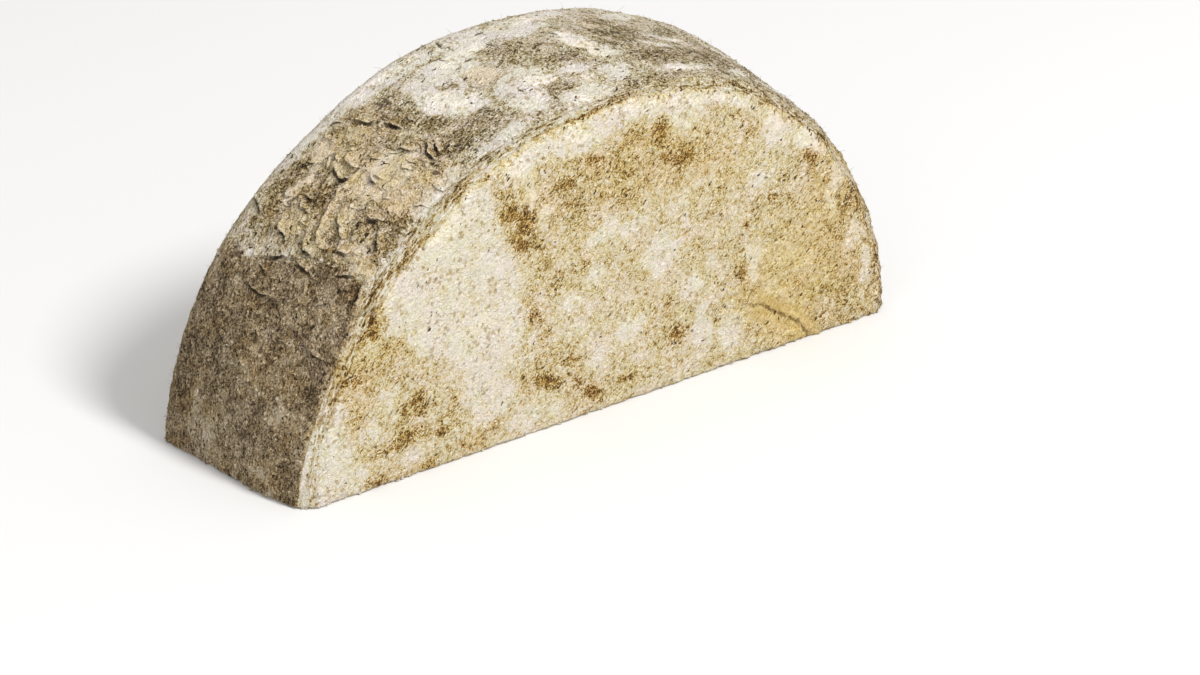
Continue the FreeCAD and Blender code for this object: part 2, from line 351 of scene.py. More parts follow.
# rim: degrees round it, depth from the front; half sizes in degrees and mm
RIM_PLATES = [
    (42.9, 34.6, 2.0, 3.4, 10, 1.0), (43.6, 24.6, 2.6, 1.9, 10, 1.0), (46.9, 22.0, 1.5, 2.6, 10, 1.0), (53.6, 32.6, 1.9, 2.8, 0, 1.0),
    (53.9, 26.8, 3.6, 2.2, 0, 0.85), (51.0, 25.0, 2.0, 2.4, 0, 0.8), (58.5, 38.5, 1.7, 4.4, 0, 0.8), (43.0, 12.8, 1.1, 5.0, 0, 1.0),
    (41.8, 7.4, 1.4, 3.0, 0, 1.0), (47.6, 41.0, 2.6, 1.2, 0, 0.9), (55.4, 20.0, 4.2, 3.8, 0, 0.7), (53.0, 13.0, 2.6, 4.8, 0, 0.75),
    (57.6, 10.0, 1.6, 4.0, 0, 0.8), (36.6, 40.6, 1.2, 0.9, 0, 0.9), (56.0, 42.0, 3.0, 1.6, 0, 0.6), (63.0, 18.0, 0.8, 2.0, 0, 0.5),
    (47.0, 13.8, 1.2, 1.4, 0, 0.6), (50.5, 20.5, 1.6, 1.8, 0, 0.7),
]
RIM_PALE = [
    (55, 21, 5, 7, 0, 0.8), (44, 9, 4, 5, 0, 0.8), (57, 6, 6, 3, 0, 0.75), (49, 41, 6, 2, 0, 0.6), (35, 42, 4, 3, 0, 0.35),
    (75.5, 42, 4.5, 8, 0, 1.0), (72, 36, 4, 7, 0, 1.0), (69.5, 29, 3.4, 7, 0, 0.9), (78, 16, 3, 8, 0, 1.0), (81, 22, 3, 4, 0, 0.95),
    (88.5, 17, 3.5, 2.2, 0, 0.85), (85.5, 6, 3.4, 3, 0, 1.0), (94, 11.5, 3, 3.4, 0, 1.0), (94.2, 28, 2.0, 7.0, 10, 1.0), (89.5, 44, 5, 6, 0, 0.8),
    (104.5, 8, 4.5, 2, 0, 0.95), (111, 30, 2.4, 2.4, 0, 1.0), (81, 47, 6, 6, 0, 0.9), (67, 49, 6, 4, 0, 0.85), (60, 52, 12, 4, 0, 0.75),
    (96, 20, 1.6, 3, 30, 0.8), (107, 22.5, 2.6, 2.4, -20, 0.7), (72, 22, 2.4, 3, 0, 0.8), (97, 48, 5, 3, 0, 0.7), (69, 6, 6, 2.6, 0, 0.8), (110, 46, 8, 3, 20, 0.6),
    (118, 12, 4, 3.4, 35, 0.8), (122, 30, 4, 5, 35, 0.6), (127, 12, 6, 3, 20, 0.75), (137, 30, 10, 5, 10, 0.6),
    (148, 10, 12, 5, 0, 0.7), (150, 44, 10, 5, 0, 0.6), (166, 28, 8, 8, 0, 0.6), (130, 46, 6, 4, 0, 0.6), (166, 8, 8, 3, 0, 0.7), (69, 6, 6, 2.6, 0, 0.8),
]
RIM_POWDER = [
    (69.5, 30, 2.4, 3.4, 0, 0.9), (72, 25, 3, 3, 0, 0.9), (76.5, 40.5, 2.2, 3.4, 0, 1.0), (81, 41, 2.6, 2.4, 0, 0.85), (82, 18, 2.6, 2.6, 0, 1.0),
    (78, 13, 1.6, 3, 30, 0.9), (93.6, 28, 1.3, 7, 8, 1.0), (88.5, 12, 2.4, 2, 20, 0.8), (107, 22, 1.8, 1.6, 0, 0.7), (114, 29, 2.4, 1.6, 35, 0.8),
    (104, 7, 3.4, 1.6, 0, 0.85), (65, 19, 1.2, 1.8, 0, 0.75), (93, 46, 5, 3, 0, 0.7), (62, 4.6, 3, 1.2, 0, 0.6), (84, 4.6, 3, 1.4, 0, 0.8), (69, 50, 7, 2, 0, 0.7),
]
RIM_DARK = [
    (64, 34, 2.4, 8, 0, 1.0), (65, 25, 2.0, 5, 0, 0.95), (70.5, 13.5, 3.6, 5, 0, 1.0), (65.4, 14, 3.6, 5, 0, 0.95), (74, 45, 3, 0.9, 0, 0.9), (72.3, 32.6, 0.8, 1.0, 0, 1.0),
    (47.6, 7.4, 3.8, 3.4, 0, 0.95), (47.4, 15.4, 1.9, 2.6, 0, 1.0), (47.4, 34.5, 2.8, 4.6, 0, 0.95),
    (45, 46, 6, 3.4, 0, 0.85), (52, 37, 1.6, 3, 0, 0.6), (41.6, 20.5, 1.6, 2.6, 0, 0.95), (50.5, 15, 0.8, 4, 0, 0.7), (60.6, 31, 1.2, 4, 0, 0.7),
    (84, 33, 2.4, 5, 0, 1.0), (90, 23, 4.4, 2.8, 0, 1.0), (83, 12, 1.6, 2.6, 0, 0.9), (103, 34, 4.6, 8.5, 0, 0.9), (102.5, 15.5, 4.4, 5.2, 0, 1.0),
    (114, 16, 5.4, 5.4, 0, 1.0), (98, 4.6, 6, 1.8, 0, 0.85), (98.6, 24, 1.6, 4, 20, 0.8), (87.5, 30, 2, 3, 0, 0.7),
    (119.5, 27, 3, 5, 35, 0.95), (118, 18, 4, 3, 35, 0.8), (116, 37, 5, 3, 35, 0.7), (128, 24, 8, 4, 20, 0.75), (133, 38, 7, 4, 0, 0.7),
    (142, 18, 9, 5, 0, 0.75), (158, 32, 9, 7, 0, 0.8), (160, 14, 6, 3, 0, 0.6), (171, 46, 8, 6, 0, 0.75), (55, 8, 2, 2, 0, 0.4), (68, 8, 4, 1.4, 0, 0.7),
]
RIM_PEACH = [(77.4, 30.5, 2.2, 4.2, 10, 1.0), (54.0, 44.5, 2.2, 3.2, 0, 0.85), (88, 46, 2, 3, 0, 0.35), (100.5, 37, 2, 4, 0, 0.4)]
RIM_SPOTS = [
    (78.5, 17, 0.3, 1.0, 20), (76, 43, 0.25, 1.6, 10), (78.3, 49, 0.25, 2.2, -10), (78.6, 38, 0.8, 0.6, 0),
    (92.4, 34.6, 0.3, 1.6, 25), (94.8, 22, 0.4, 0.9, 0), (83.5, 40, 0.3, 1.6, 10), (81.6, 36.5, 0.3, 1.2, 0), (64, 42, 0.3, 2.0, 0),
    (102.6, 31.6, 0.7, 1.2, 0), (112, 25.4, 0.8, 1.2, 0), (86, 40.5, 0.3, 0.8, 0), (74.5, 28, 0.3, 0.5, 0), (65, 41, 0.35, 2.6, -6),
    (58.4, 36.4, 0.3, 0.6, 0), (59, 10, 0.5, 0.9, 0), (65.4, 7.4, 0.25, 1.4, -12), (79, 47, 0.2, 1.4, -12), (84.6, 47, 0.8, 0.7, 0),
]
# cracks on the rim, degrees and depth; the rind lifts on the left of each line
RIM_CRACKS = [
    [(55.4, 39.5), (52.4, 35.4), (51.3, 31.5), (51.9, 28.2)], [(53.8, 28.0), (49.9, 28.2), (45.6, 26.6), (41.8, 24.4)],
    [(46.8, 24.0), (45.6, 20.6), (44.2, 17.6)], [(42.4, 29.4), (40.6, 27.0), (40.3, 22.8)],
    [(48.7, 16.4), (48.4, 14.7), (49.7, 9.8)], [(48.9, 12.4), (47.0, 9.4), (45.0, 7.3)],
    [(43.9, 18.4), (42.7, 17.0), (43.1, 14.0)], [(62.9, 20.4), (61.1, 16.6), (60.9, 13.2)],
    [(60.0, 43.6), (60.4, 41.0), (61.4, 37.6)], [(44.0, 39.2), (41.4, 37.6), (40.8, 34.3)],
    [(38.7, 27.2), (38.3, 23.2), (37.8, 19.5)], [(59.2, 25.2), (60.2, 21.5)], [(53.9, 24.4), (53.2, 20.8)],
    [(63.6, 19.8), (61.9, 14.2)], [(43.8, 52.6), (42.1, 46.2)], [(37.4, 36.0), (38.6, 31.4)],
    [(61.6, 35.0), (62.6, 29.6)], [(39.5, 14.6), (40.9, 9.2)], [(50.6, 46.0), (51.6, 42.2)],
    [(33.2, 38.6), (32.6, 33.0), (33.0, 28.0)], [(36.0, 38.0), (35.4, 33.4)], [(28.9, 12.0), (28.6, 6.6)], [(40.2, 6.0), (38.4, 4.6), (36.0, 5.2)],
    [(46.6, 16.0), (44.6, 15.2)], [(42.8, 22.0), (41.2, 20.0)], [(47.3, 38.4), (47.0, 33.6)], [(45.4, 36.0), (45.0, 31.8)],
]
FRONT_CRACK = [(44, 17.5), (47.5, 15.6), (51, 15.0), (54, 12.8), (58, 10.4), (61.5, 8.2), (65, 6.0), (67.6, 3.2), (70, 0.2)]


def marks(p):
    """Where every point of the rind lies, and the fields that its colours and relief are made from."""
    a, r, depth = polar(p)
    x, z = p[:, 0] - SHIFT, p[:, 2]
    n = rind_normal(p)
    wide = NOISE[1].octaves(p, 12.0, 3, 0.6)
    warp_u = NOISE[2].octaves(p, 6.0, 4, 0.65)
    warp_v = NOISE[3].octaves(p, 6.0, 4, 0.65)
    broken = NOISE[4].octaves(p + 50, 4.5, 4, 0.75)
    broken2 = NOISE[5].octaves(p + 90, 4.5, 4, 0.75)

    back = smooth(0.35, 0.75, n[:, 1])
    front = smooth(0.35, 0.75, -n[:, 1])
    rim = 1 - front - back
    t = np.degrees(a)
    run = 103 * a

    u, v = x + 1.7 * warp_u, z + 1.7 * warp_v
    pale = ovals(u, v, FRONT_PALE, 5.0)
    for points in FRONT_PALE_OUTLINES:
        pale = np.maximum(pale, outline_field(x + 1.0 * warp_u, z + 1.0 * warp_v, points, 5.0))
    brown = ovals(u, v, FRONT_BROWN, 5.5)
    for points in FRONT_BROWN_OUTLINES:
        brown = np.maximum(brown, outline_field(u, v, points, 7.0))
    f_pale, f_brown = pale + 0.60 * broken - 0.03, brown + 0.10 + 0.80 * broken2
    f_powder = ovals(u, v, FRONT_POWDER, 5.2) + 0.75 * broken - 0.06
    f_deep = ovals(u, v, FRONT_DEEP, 3.6) + 0.13 + 0.7 * broken2
    specks = np.full_like(x, -1.0)
    for cx, cz, long, thin, turn in FRONT_SPECKS:
        c, s = math.cos(math.radians(turn)), math.sin(math.radians(turn))
        q = np.hypot(((x - cx) * c + (z - cz) * s) / long, (-(x - cx) * s + (z - cz) * c) / thin)
        specks = np.maximum(specks, np.clip((1 - q) * thin * 1.2, -1, 1))

    # on the top of the rim the patches lie along the rim, as the moulds grew when it was turned
    q = np.stack([run / 2.2, depth, r / 4], -1)
    streak = NOISE[6].octaves(q, 3.4, 4, 0.75)
    on_top = smooth(58, 78, t)
    mixed, mixed2 = broken * (1 - on_top) + streak * on_top, broken2 * (1 - on_top) + 0.8 * streak * on_top + 0.3 * broken2 * on_top
    ud, vd = t + 1.0 * warp_u, depth + 2.2 * warp_v
    per = math.pi * 103 / 180

    def scaled(marks):
        return [(m[0] * per, m[1], m[2] * per, *m[3:]) for m in marks]

    r_pale = ovals(ud * per, vd, scaled(RIM_PALE), 4.0) - 0.95 * mixed + 0.05
    r_powder = ovals(ud * per, vd, scaled(RIM_POWDER), 6.0) - 0.95 * mixed - 0.06
    r_brown = ovals(ud * per, vd, scaled(RIM_DARK), 5.0) + 0.04 + 0.9 * mixed2
    plates = ovals((t + 0.35 * warp_u) * per, depth + 0.6 * warp_v, scaled(RIM_PLATES), 2.6)
    r_deep = -0.75 + 1.1 * mixed2 + 0.5 * r_brown
    spots = np.full_like(x, -1.0)
    for ct, cd, long, thin, turn in RIM_SPOTS:
        c, s = math.cos(math.radians(turn)), math.sin(math.radians(turn))
        du, dv = (t - ct) * per, depth - cd
        q = np.hypot((du * c + dv * s) / (long * per), (-du * s + dv * c) / thin)
        spots = np.maximum(spots, np.clip((1 - q) * min(long * per, thin) * 1.2, -1, 1))
    edge_at = np.interp(depth, [0, 5, 13, 19, 26, 35, 43, 58], [40.2, 40.4, 41.0, 40.2, 38.8, 37.2, 36.2, 36.0])
    felt = np.clip((edge_at - t) * 0.5 + 0.9 * warp_u + 0.7 * broken, -1, 1)
    r_tone = 0.47 + 0.10 * wide
    f_tone = 0.41 + 0.10 * wide + 0.15 * smooth(60, 84, x)
    # the hidden back, matured on its shelf: the same rind, greyer, with the marks of the boards
    boards = np.sin(2 * math.pi * (x * 0.94 + z * 0.33) / 13.0)
    b_tone = 0.45 + 0.16 * wide + 0.05 * boards

    # the crease where the front face ends: how far towards the face a point lies from it
    ring = rim_radius(a, 0 * a) - r - 2.1 + 0.35 * warp_u + 0.5 * NOISE[7](p, 9.0)
    ring = np.where(depth > 8, -4.0, ring)
    ends = np.interp(t, [6, 12, 16, 24, 30, 34, 38, 41, 52, 60, 90, 180], [3.2, 2.8, 2.4, 3.2, 2.2, 2.8, 3.6, 4.4, 4.6, 4.0, 3.0, 3.0])
    band = np.clip(ends - depth + 0.7 * warp_v + 0.7 * broken, -1, 1)

    def blend(f, m, b):
        return f * front + m * rim + b * back

    none = np.full_like(x, -1.0)
    b_brown = np.clip(4.4 * NOISE[5].octaves(p, 24, 4, 0.6) + 0.6 * broken2 - 0.40, -1, 1)
    b_deep = np.minimum(b_brown, np.clip(2.6 * NOISE[5].octaves(p + 200, 13, 3, 0.6) + 0.7 * broken2 - 0.55, -1, 1))
    return dict(
        a=a, r=r, t=t, depth=depth, x=x, z=z, n=n, p=p, front=front, back=back, rim=rim, wide=wide, warp_u=warp_u, warp_v=warp_v,
        broken=broken, run=run, ring=ring, band=band, felt=felt,
        tone=blend(f_tone, r_tone, b_tone),
        pale=blend(f_pale, r_pale, np.clip(4.6 * NOISE[4].octaves(p, 30, 4, 0.6) + 0.5 * broken - 0.45, -1, 1)),
        brown=blend(f_brown, r_brown, b_brown),
        deep=blend(f_deep, r_deep, b_deep),
        powder=blend(f_powder, r_powder, np.clip(3.4 * NOISE[6].octaves(p, 16, 4, 0.6) + 0.4 * broken - 0.85, -1, 1)),
        plates=blend(none, plates, none), spots=blend(specks, spots, none),
        mustard=soft_ovals(u, v, FRONT_MUSTARD) * front,
        peach=blend(none, ovals(ud * per, vd, scaled(RIM_PEACH), 2.4) + 0.3 * broken, none),
        zone=smooth(38, 42, t) * (1 - smooth(60, 66, t)) * smooth(4, 7, depth) * (1 - smooth(44, 50, depth)) * rim,
    )


def crack_fields(m):
    """The nearest crack: how far the point lies from it (over 0 on the lifted side) and how strong it is."""
    near = np.full_like(m["x"], 9.0)
    strong = np.zeros_like(near)
    per = math.pi * 103 / 180
    vary = smooth(-0.5, 0.3, NOISE[7].octaves(m["p"] + 23, 5.0, 3, 0.65))
    bend_u, bend_v = 0.9 * m["warp_u"], 1.1 * m["warp_v"]
    for path in RIM_CRACKS:
        line = [(c * per, d) for c, d in path]
        u, v = m["run"] + bend_u, m["depth"] + bend_v
        dist, side = path_distance(u, v, line)
        tips = np.minimum(np.hypot(u - line[0][0], v - line[0][1]), np.hypot(u - line[-1][0], v - line[-1][1]))
        on = m["rim"] * smooth(0.0, 2.4, tips) * (0.45 + 0.55 * vary)
        closer = (dist < np.abs(near)) & (dist < 8)
        near = np.where(closer, np.where(side > 0, dist, -dist), near)
        strong = np.where(closer, on, strong)
    u, v = m["x"] + 0.5 * m["warp_u"], m["z"] + 0.5 * m["warp_v"]
    dist, side = path_distance(u, v, FRONT_CRACK)
    start = smooth(0.0, 9.0, np.hypot(u - FRONT_CRACK[0][0], v - FRONT_CRACK[0][1]))
    crust = np.where(side > 0, dist, -dist) * m["front"] + 9.0 * (1 - m["front"])
    strong = strong * (1 - smooth(2.6, 3.6, np.abs(near)))
    return near, strong, crust, m["front"] * (0.25 + 0.75 * start) * (1 - smooth(4.2, 5.6, dist))


def relief(p, m, lips=True):
    """How far each point of the rind stands off its mean surface, in mm."""
    near, strong, crust, crusted = crack_fields(m)
    n1 = NOISE[4](p, 16.0)
    n2 = NOISE[5].octaves(p, 6.0, 3, 0.55)
    n3 = NOISE[6].octaves(p, 2.2, 2, 0.8)
    right = smooth(95, 150, m["t"])
    flat = 0.10 * n1 + 0.15 * n2 + 0.13 * n3
    rim = 0.26 * n1 + (0.24 + 0.40 * right) * n2 + 0.20 * n3
    h = flat * (m["front"] + m["back"]) + rim * m["rim"]
    h = h + 0.75 * right * NOISE[2].octaves(p + 40, 3.4, 2, 0.7) * np.exp(-((m["depth"] - 2) / 4.5) ** 2)
    # where a crack runs, the rind on one side of it curls up and the other side drops away
    lifted = strong * np.exp(-np.maximum(near, 0) / 3.0) * smooth(-0.25, 0.35, near)
    if lips:
        h = h + 0.45 * lifted - 0.55 * strong * np.exp(-(((near + 0.3) / 0.6) ** 2))
    h = h + 0.35 * smooth(-0.2, 0.35, m["plates"]) * m["rim"]
    h = h + 0.12 * smooth(-0.2, 0.3, m["powder"])
    # crumpled, puckered rind in the flaky patch, and felted lumps at the left
    q = p + 0.8 * np.stack([m["warp_u"], m["warp_v"], -m["warp_u"]], -1)
    fold = 1 - 3.6 * np.abs(NOISE[0].octaves(q + 7, 7.5, 3, 0.55))
    pucker = 1 - 2.6 * np.abs(NOISE[1].octaves(q + 31, 3.2, 2, 0.65))
    pits = smooth(0.25, 0.6, NOISE[2](p + 3, 2.4))
    bare = m["zone"] * (1 - 0.6 * smooth(-0.2, 0.3, m["plates"]))
    h = h + bare * (0.55 * np.clip(fold, -0.5, 1) + 0.22 * np.clip(pucker, -1, 1) - 0.30 * pits - 0.1)
    felted = smooth(-0.4, 0.4, m["felt"]) * m["rim"]
    h = h + felted * (0.34 * np.clip(fold, -0.5, 1) + 0.20 * np.clip(pucker, -1, 1) - 0.25 * pits - 0.1)
    # the front face ends in a small lip over the band
    zone = (m["depth"] < 6) * np.exp(-np.maximum(-m["ring"], 0) / 1.6)
    h = h + zone * (0.16 * smooth(-0.3, 0.35, m["ring"]) * np.exp(-np.maximum(m["ring"], 0) / 2.5) - 0.22 * np.exp(-(((m["ring"] + 0.25) / 0.5) ** 2)))
    # the crust beside the long crack of the front face
    h = h + crusted * (0.28 * np.exp(-np.abs(crust) / 2.2) * (crust > 0) - 0.35 * np.exp(-((crust / 0.45) ** 2)))
    return h, dict(near=near, strong=strong, crust=crust, crusted=crusted)


# ---------------------------------------------------------------- meshes

def mesh_object(name, points_mm, faces):
    mesh = bpy.data.meshes.new(name)
    mesh.from_pydata((np.asarray(points_mm) / 1000.0).tolist(), [], [list(f) for f in faces])
    mesh.update()
    obj = bpy.data.objects.new(name, mesh)
    bpy.context.scene.collection.objects.link(obj)
    return obj


def vertices_mm(mesh):
    co = np.empty(len(mesh.vertices) * 3, np.float32)
    mesh.vertices.foreach_get("co", co)
    return co.reshape(-1, 3).astype(np.float64) * 1000.0


def set_vertices_mm(mesh, p):
    mesh.vertices.foreach_set("co", (p / 1000.0).astype(np.float32).ravel())
    mesh.update()


def store(mesh, name, values):
    att = mesh.attributes.new(name, "FLOAT", "POINT")
    att.data.foreach_set("value", np.asarray(values, np.float32))


def inside_cad(p):
    low, high = np.array(cad_box[0]) * 1000, np.array(cad_box[1]) * 1000
    return np.clip(p, low, high)


def make_body():
    grid, low = body_grid()
    field = openvdb.FloatGrid(3 * VOXEL)
    field.copyFromArray(grid)
    points, quads = field.convertToQuads(0.0)
    p = points.astype(np.float64) * VOXEL + low
    n = rind_normal(p)
    m = marks(p)
    h, _ = relief(p, m)
    under = rind_distance(p)
    push = n * (h * np.exp(np.minimum(under, 0) / 1.3))[:, None]
    foot = np.exp(-np.maximum(p[:, 2], 0) / 1.6) * (under > -1.5)
    push = push - n * (foot * np.clip(0.15 + 1.1 * NOISE[3].octaves(p + 11, 2.6, 3, 0.7), 0, 1.2))[:, None]
    push[:, 2] *= smooth(0.05, 1.2, p[:, 2])
    p = p + push
    p[:, 2] = np.maximum(p[:, 2], 0)
    p = inside_cad(p)
    body = mesh_object("cheese_body", p, quads)
    mesh = body.data
    triangles = 2 * len(quads)
    if triangles > BODY_TRIANGLES:
        thin = body.modifiers.new("thin", "DECIMATE")
        thin.ratio = BODY_TRIANGLES / triangles
        dg = bpy.context.evaluated_depsgraph_get()
        made = bpy.data.meshes.new_from_object(body.evaluated_get(dg))
        body.modifiers.clear()
        body.data = made
        bpy.data.meshes.remove(mesh)
        mesh = made
    return body


def paint(mesh, own_tone_and_shade=0.0, lips=True, body=False):
    """The numbers that the material reads, for every vertex."""
    p = vertices_mm(mesh)
    m = marks(p)
    h, f = relief(p, m)
    t = m["t"]
    beside = smooth(3.5, 5.0, m["depth"]) * (1 - smooth(6.0, 13.0, m["depth"])) * smooth(10, 26, t) * (1 - smooth(38, 46, t))
    m["tone"] = m["tone"] + 0.12 * beside + 0.13 * smooth(100, 112, t) * (1 - smooth(150, 165, t)) * (m["depth"] < 22) * (1 - m["front"])
    if not lips:
        f["strong"] = f["strong"] * 0
    for name in ("rim", "tone", "pale", "brown", "deep", "powder", "plates", "spots", "mustard", "peach", "zone", "ring"):
        store(mesh, name, m[name])
    store(mesh, "own_tone_and_shade", np.zeros(len(p)) + own_tone_and_shade)
    store(mesh, "near", np.clip(f["near"], -4, 4))
    store(mesh, "strong", f["strong"])
    store(mesh, "crust", np.clip(f["crust"], -6, 6))
    store(mesh, "crusted", f["crusted"])
    store(mesh, "felt", m["felt"] * m["rim"] - 1 + m["rim"])
    store(mesh, "band", m["band"] * (1 - m["back"]) - m["back"])
    store(mesh, "run", m["run"])
    store(mesh, "sink", m["depth"])
    # how dark the crease line is round the wheel, part brown rind and part painted crease shade, and where it breaks up
    # into dots
    near_front = (m["depth"] < 7) * 1.0
    store(mesh, "crease", near_front * np.interp(
        t, [0, 5, 20, 27, 34, 38, 50, 57, 60, 66, 69, 76, 78, 80, 84, 86, 96, 104, 108, 118, 128, 134, 142, 160, 175],
        [.4, .4, .35, .7, .8, .8, 1, .9, .3, .2, .6, .6, .25, .7, .7, .35, .5, .2, .4, .7, .7, .5, .4, .4, .4]))
    store(mesh, "dots", near_front * np.exp(-(((m["ring"] + 0.1) / (1.1 + 1.3 * smooth(100, 115, t))) ** 2)) * np.interp(
        t, [30, 38, 56, 62, 78, 84, 92, 102, 110, 126, 136, 150, 176], [.2, .5, .5, .1, .4, 1.2, 1.2, .9, 1.8, 1.9, 1.5, 1.0, .8]))
    store(mesh, "bandtone", np.interp(t, [0, 24, 36, 58, 66, 78, 90, 104, 120, 180], [.36, .40, .40, .44, .44, .46, .62, .60, .52, .52]))
    store(mesh, "silky", np.interp(t, [0, 20, 40, 56, 70, 180], [.35, .7, .75, .7, .2, .05]))
    if body:
        under = -rind_distance(p) + np.clip(h, -0.5, 0.5)
        store(mesh, "under", np.clip(under, 0, 60))
        store(mesh, "paste", smooth(0.5, 1.0, under) * (p[:, 2] < 4.0))
        store(mesh, "hole", smooth(0.12, 0.7, p[:, 2]) * (under > 2.0))
    return m


def map_body(mesh):
    """The map for baking: the front and back faces, the cut face and the rim side by side at one scale."""
    p = vertices_mm(mesh)
    loops = np.empty(len(mesh.loops), np.int32)
    mesh.loops.foreach_get("vertex_index", loops)
    starts = np.empty(len(mesh.polygons), np.int32)
    totals = np.empty(len(mesh.polygons), np.int32)
    mesh.polygons.foreach_get("loop_start", starts)
    mesh.polygons.foreach_get("loop_total", totals)
    face_of = np.repeat(np.arange(len(starts)), totals)
    normals = np.empty(len(mesh.polygons) * 3, np.float32)
    mesh.polygons.foreach_get("normal", normals)
    centres = np.empty(len(mesh.polygons) * 3, np.float32)
    mesh.polygons.foreach_get("center", centres)
    centres = centres.reshape(-1, 3).astype(np.float64) * 1000
    fn = rind_normal(centres)
    fd = -rind_distance(centres)
    is_cut = ((fd > 1.0) | ((normals.reshape(-1, 3)[:, 2] < -0.75) & (centres[:, 2] < 0.5))) & (centres[:, 2] < 5)
    is_front = ~is_cut & (fn[:, 1] < -0.72)
    is_back = ~is_cut & (fn[:, 1] > 0.72)
    chart = np.where(is_cut, 0, np.where(is_front, 1, np.where(is_back, 2, 3)))[face_of]
    q = p[loops]
    a, r, depth = polar(q)
    side = 316.0
    strip = (a - 0.085) * 103.0
    along = np.clip(depth, 0, HEIGHT) + 1.9 * (smooth(0, 5, depth) - 1) + 3.0 * smooth(HEIGHT - 7.8, HEIGHT, depth)
    uv = np.zeros((len(loops), 2))
    for k, (cu, cv) in enumerate((
        (q[:, 0] + 108, q[:, 1] + 30),
        (q[:, 0] + 108, q[:, 2] + 63),
        (q[:, 0] + 108, q[:, 2] + 158),
        (strip + 4, along + 254),
    )):
        on = chart == k
        uv[on, 0], uv[on, 1] = cu[on] / side, cv[on] / side
    layer = mesh.uv_layers.new(name="OFBake")
    layer.data.foreach_set("uv", np.clip(uv, 0, 1).astype(np.float32).ravel())
    print("uv range", uv.min(0), uv.max(0), "triangles", int((totals - 2).sum()))
    mesh.polygons.foreach_set("use_smooth", np.ones(len(starts), bool))


# ---------------------------------------------------------------- flakes, grains and hairs

def rind_point(t, depth, lips=True):
    """A point of the rim's relief at an angle in degrees and a depth, and the way out from it."""
    a = np.radians(t)
    r = rim_radius(a, depth) - INSET
    p = np.stack([-r * np.cos(a) + SHIFT, depth - HEIGHT / 2, r * np.sin(a) - OFFSET], -1)
    n = rind_normal(p)
    h, _ = relief(p, marks(p), lips)
    return p + n * h[:, None], n


def join(name, parts):
    """One mesh from lists of points and faces."""
    points, faces, start = [], [], 0
    for part_points, part_faces in parts:
        points.append(part_points)
        faces.extend([[start + i for i in face] for face in part_faces])
        start += len(part_points)
    obj = mesh_object(name, np.concatenate(points), faces)
    obj.data.polygons.foreach_set("use_smooth", np.ones(len(obj.data.polygons), bool))
    return obj


# single lifted scraps of rind: a line of degrees and depth, as for the cracks, the width, and how far it stands off
SCRAPS = [
    ([(55.8, 36.4), (54.0, 33.6), (53.4, 30.6), (54.2, 28.6)], 3.4, 1.3), ([(57.4, 30.6), (56.0, 28.4), (56.4, 26.0)], 2.2, 0.9),
    ([(49.4, 34.6), (47.9, 32.6), (48.0, 30.4)], 2.4, 0.9), ([(44.6, 33.6), (43.4, 32.0), (43.6, 29.8)], 2.6, 1.0),
    ([(50.0, 23.2), (48.6, 21.4), (48.8, 19.2)], 2.2, 0.9), ([(52.8, 17.4), (51.8, 15.8), (52.4, 13.6)], 2.0, 0.8),
    ([(39.6, 30.4), (38.8, 28.8), (39.2, 26.6)], 1.8, 0.8), ([(36.4, 31.0), (35.4, 28.0), (35.8, 25.4)], 1.8, 0.8),
    ([(57.8, 19.8), (57.0, 17.8), (57.4, 15.8)], 1.8, 0.7), ([(46.8, 44.2), (45.6, 42.4), (46.0, 40.6)], 2.2, 0.9),
    ([(34.6, 22.0), (33.8, 20.0), (34.2, 17.6)], 1.6, 0.7), ([(30.6, 34.0), (29.8, 31.0), (30.4, 28.6)], 1.6, 0.7),
    ([(26.0, 24.0), (25.4, 21.4), (25.8, 19.6)], 1.4, 0.6), ([(31.4, 16.6), (30.6, 14.2), (31.0, 12.0)], 1.4, 0.6),
    ([(22.4, 38.0), (21.6, 35.0), (22.2, 32.6)], 1.5, 0.6), ([(56.6, 47.6), (55.4, 45.6), (56.0, 43.8)], 1.8, 0.8),
    ([(17.6, 18.0), (17.0, 15.6), (17.6, 13.4)], 1.3, 0.5), ([(64.8, 33.0), (64.0, 30.6), (64.6, 28.6)], 1.5, 0.6),
]


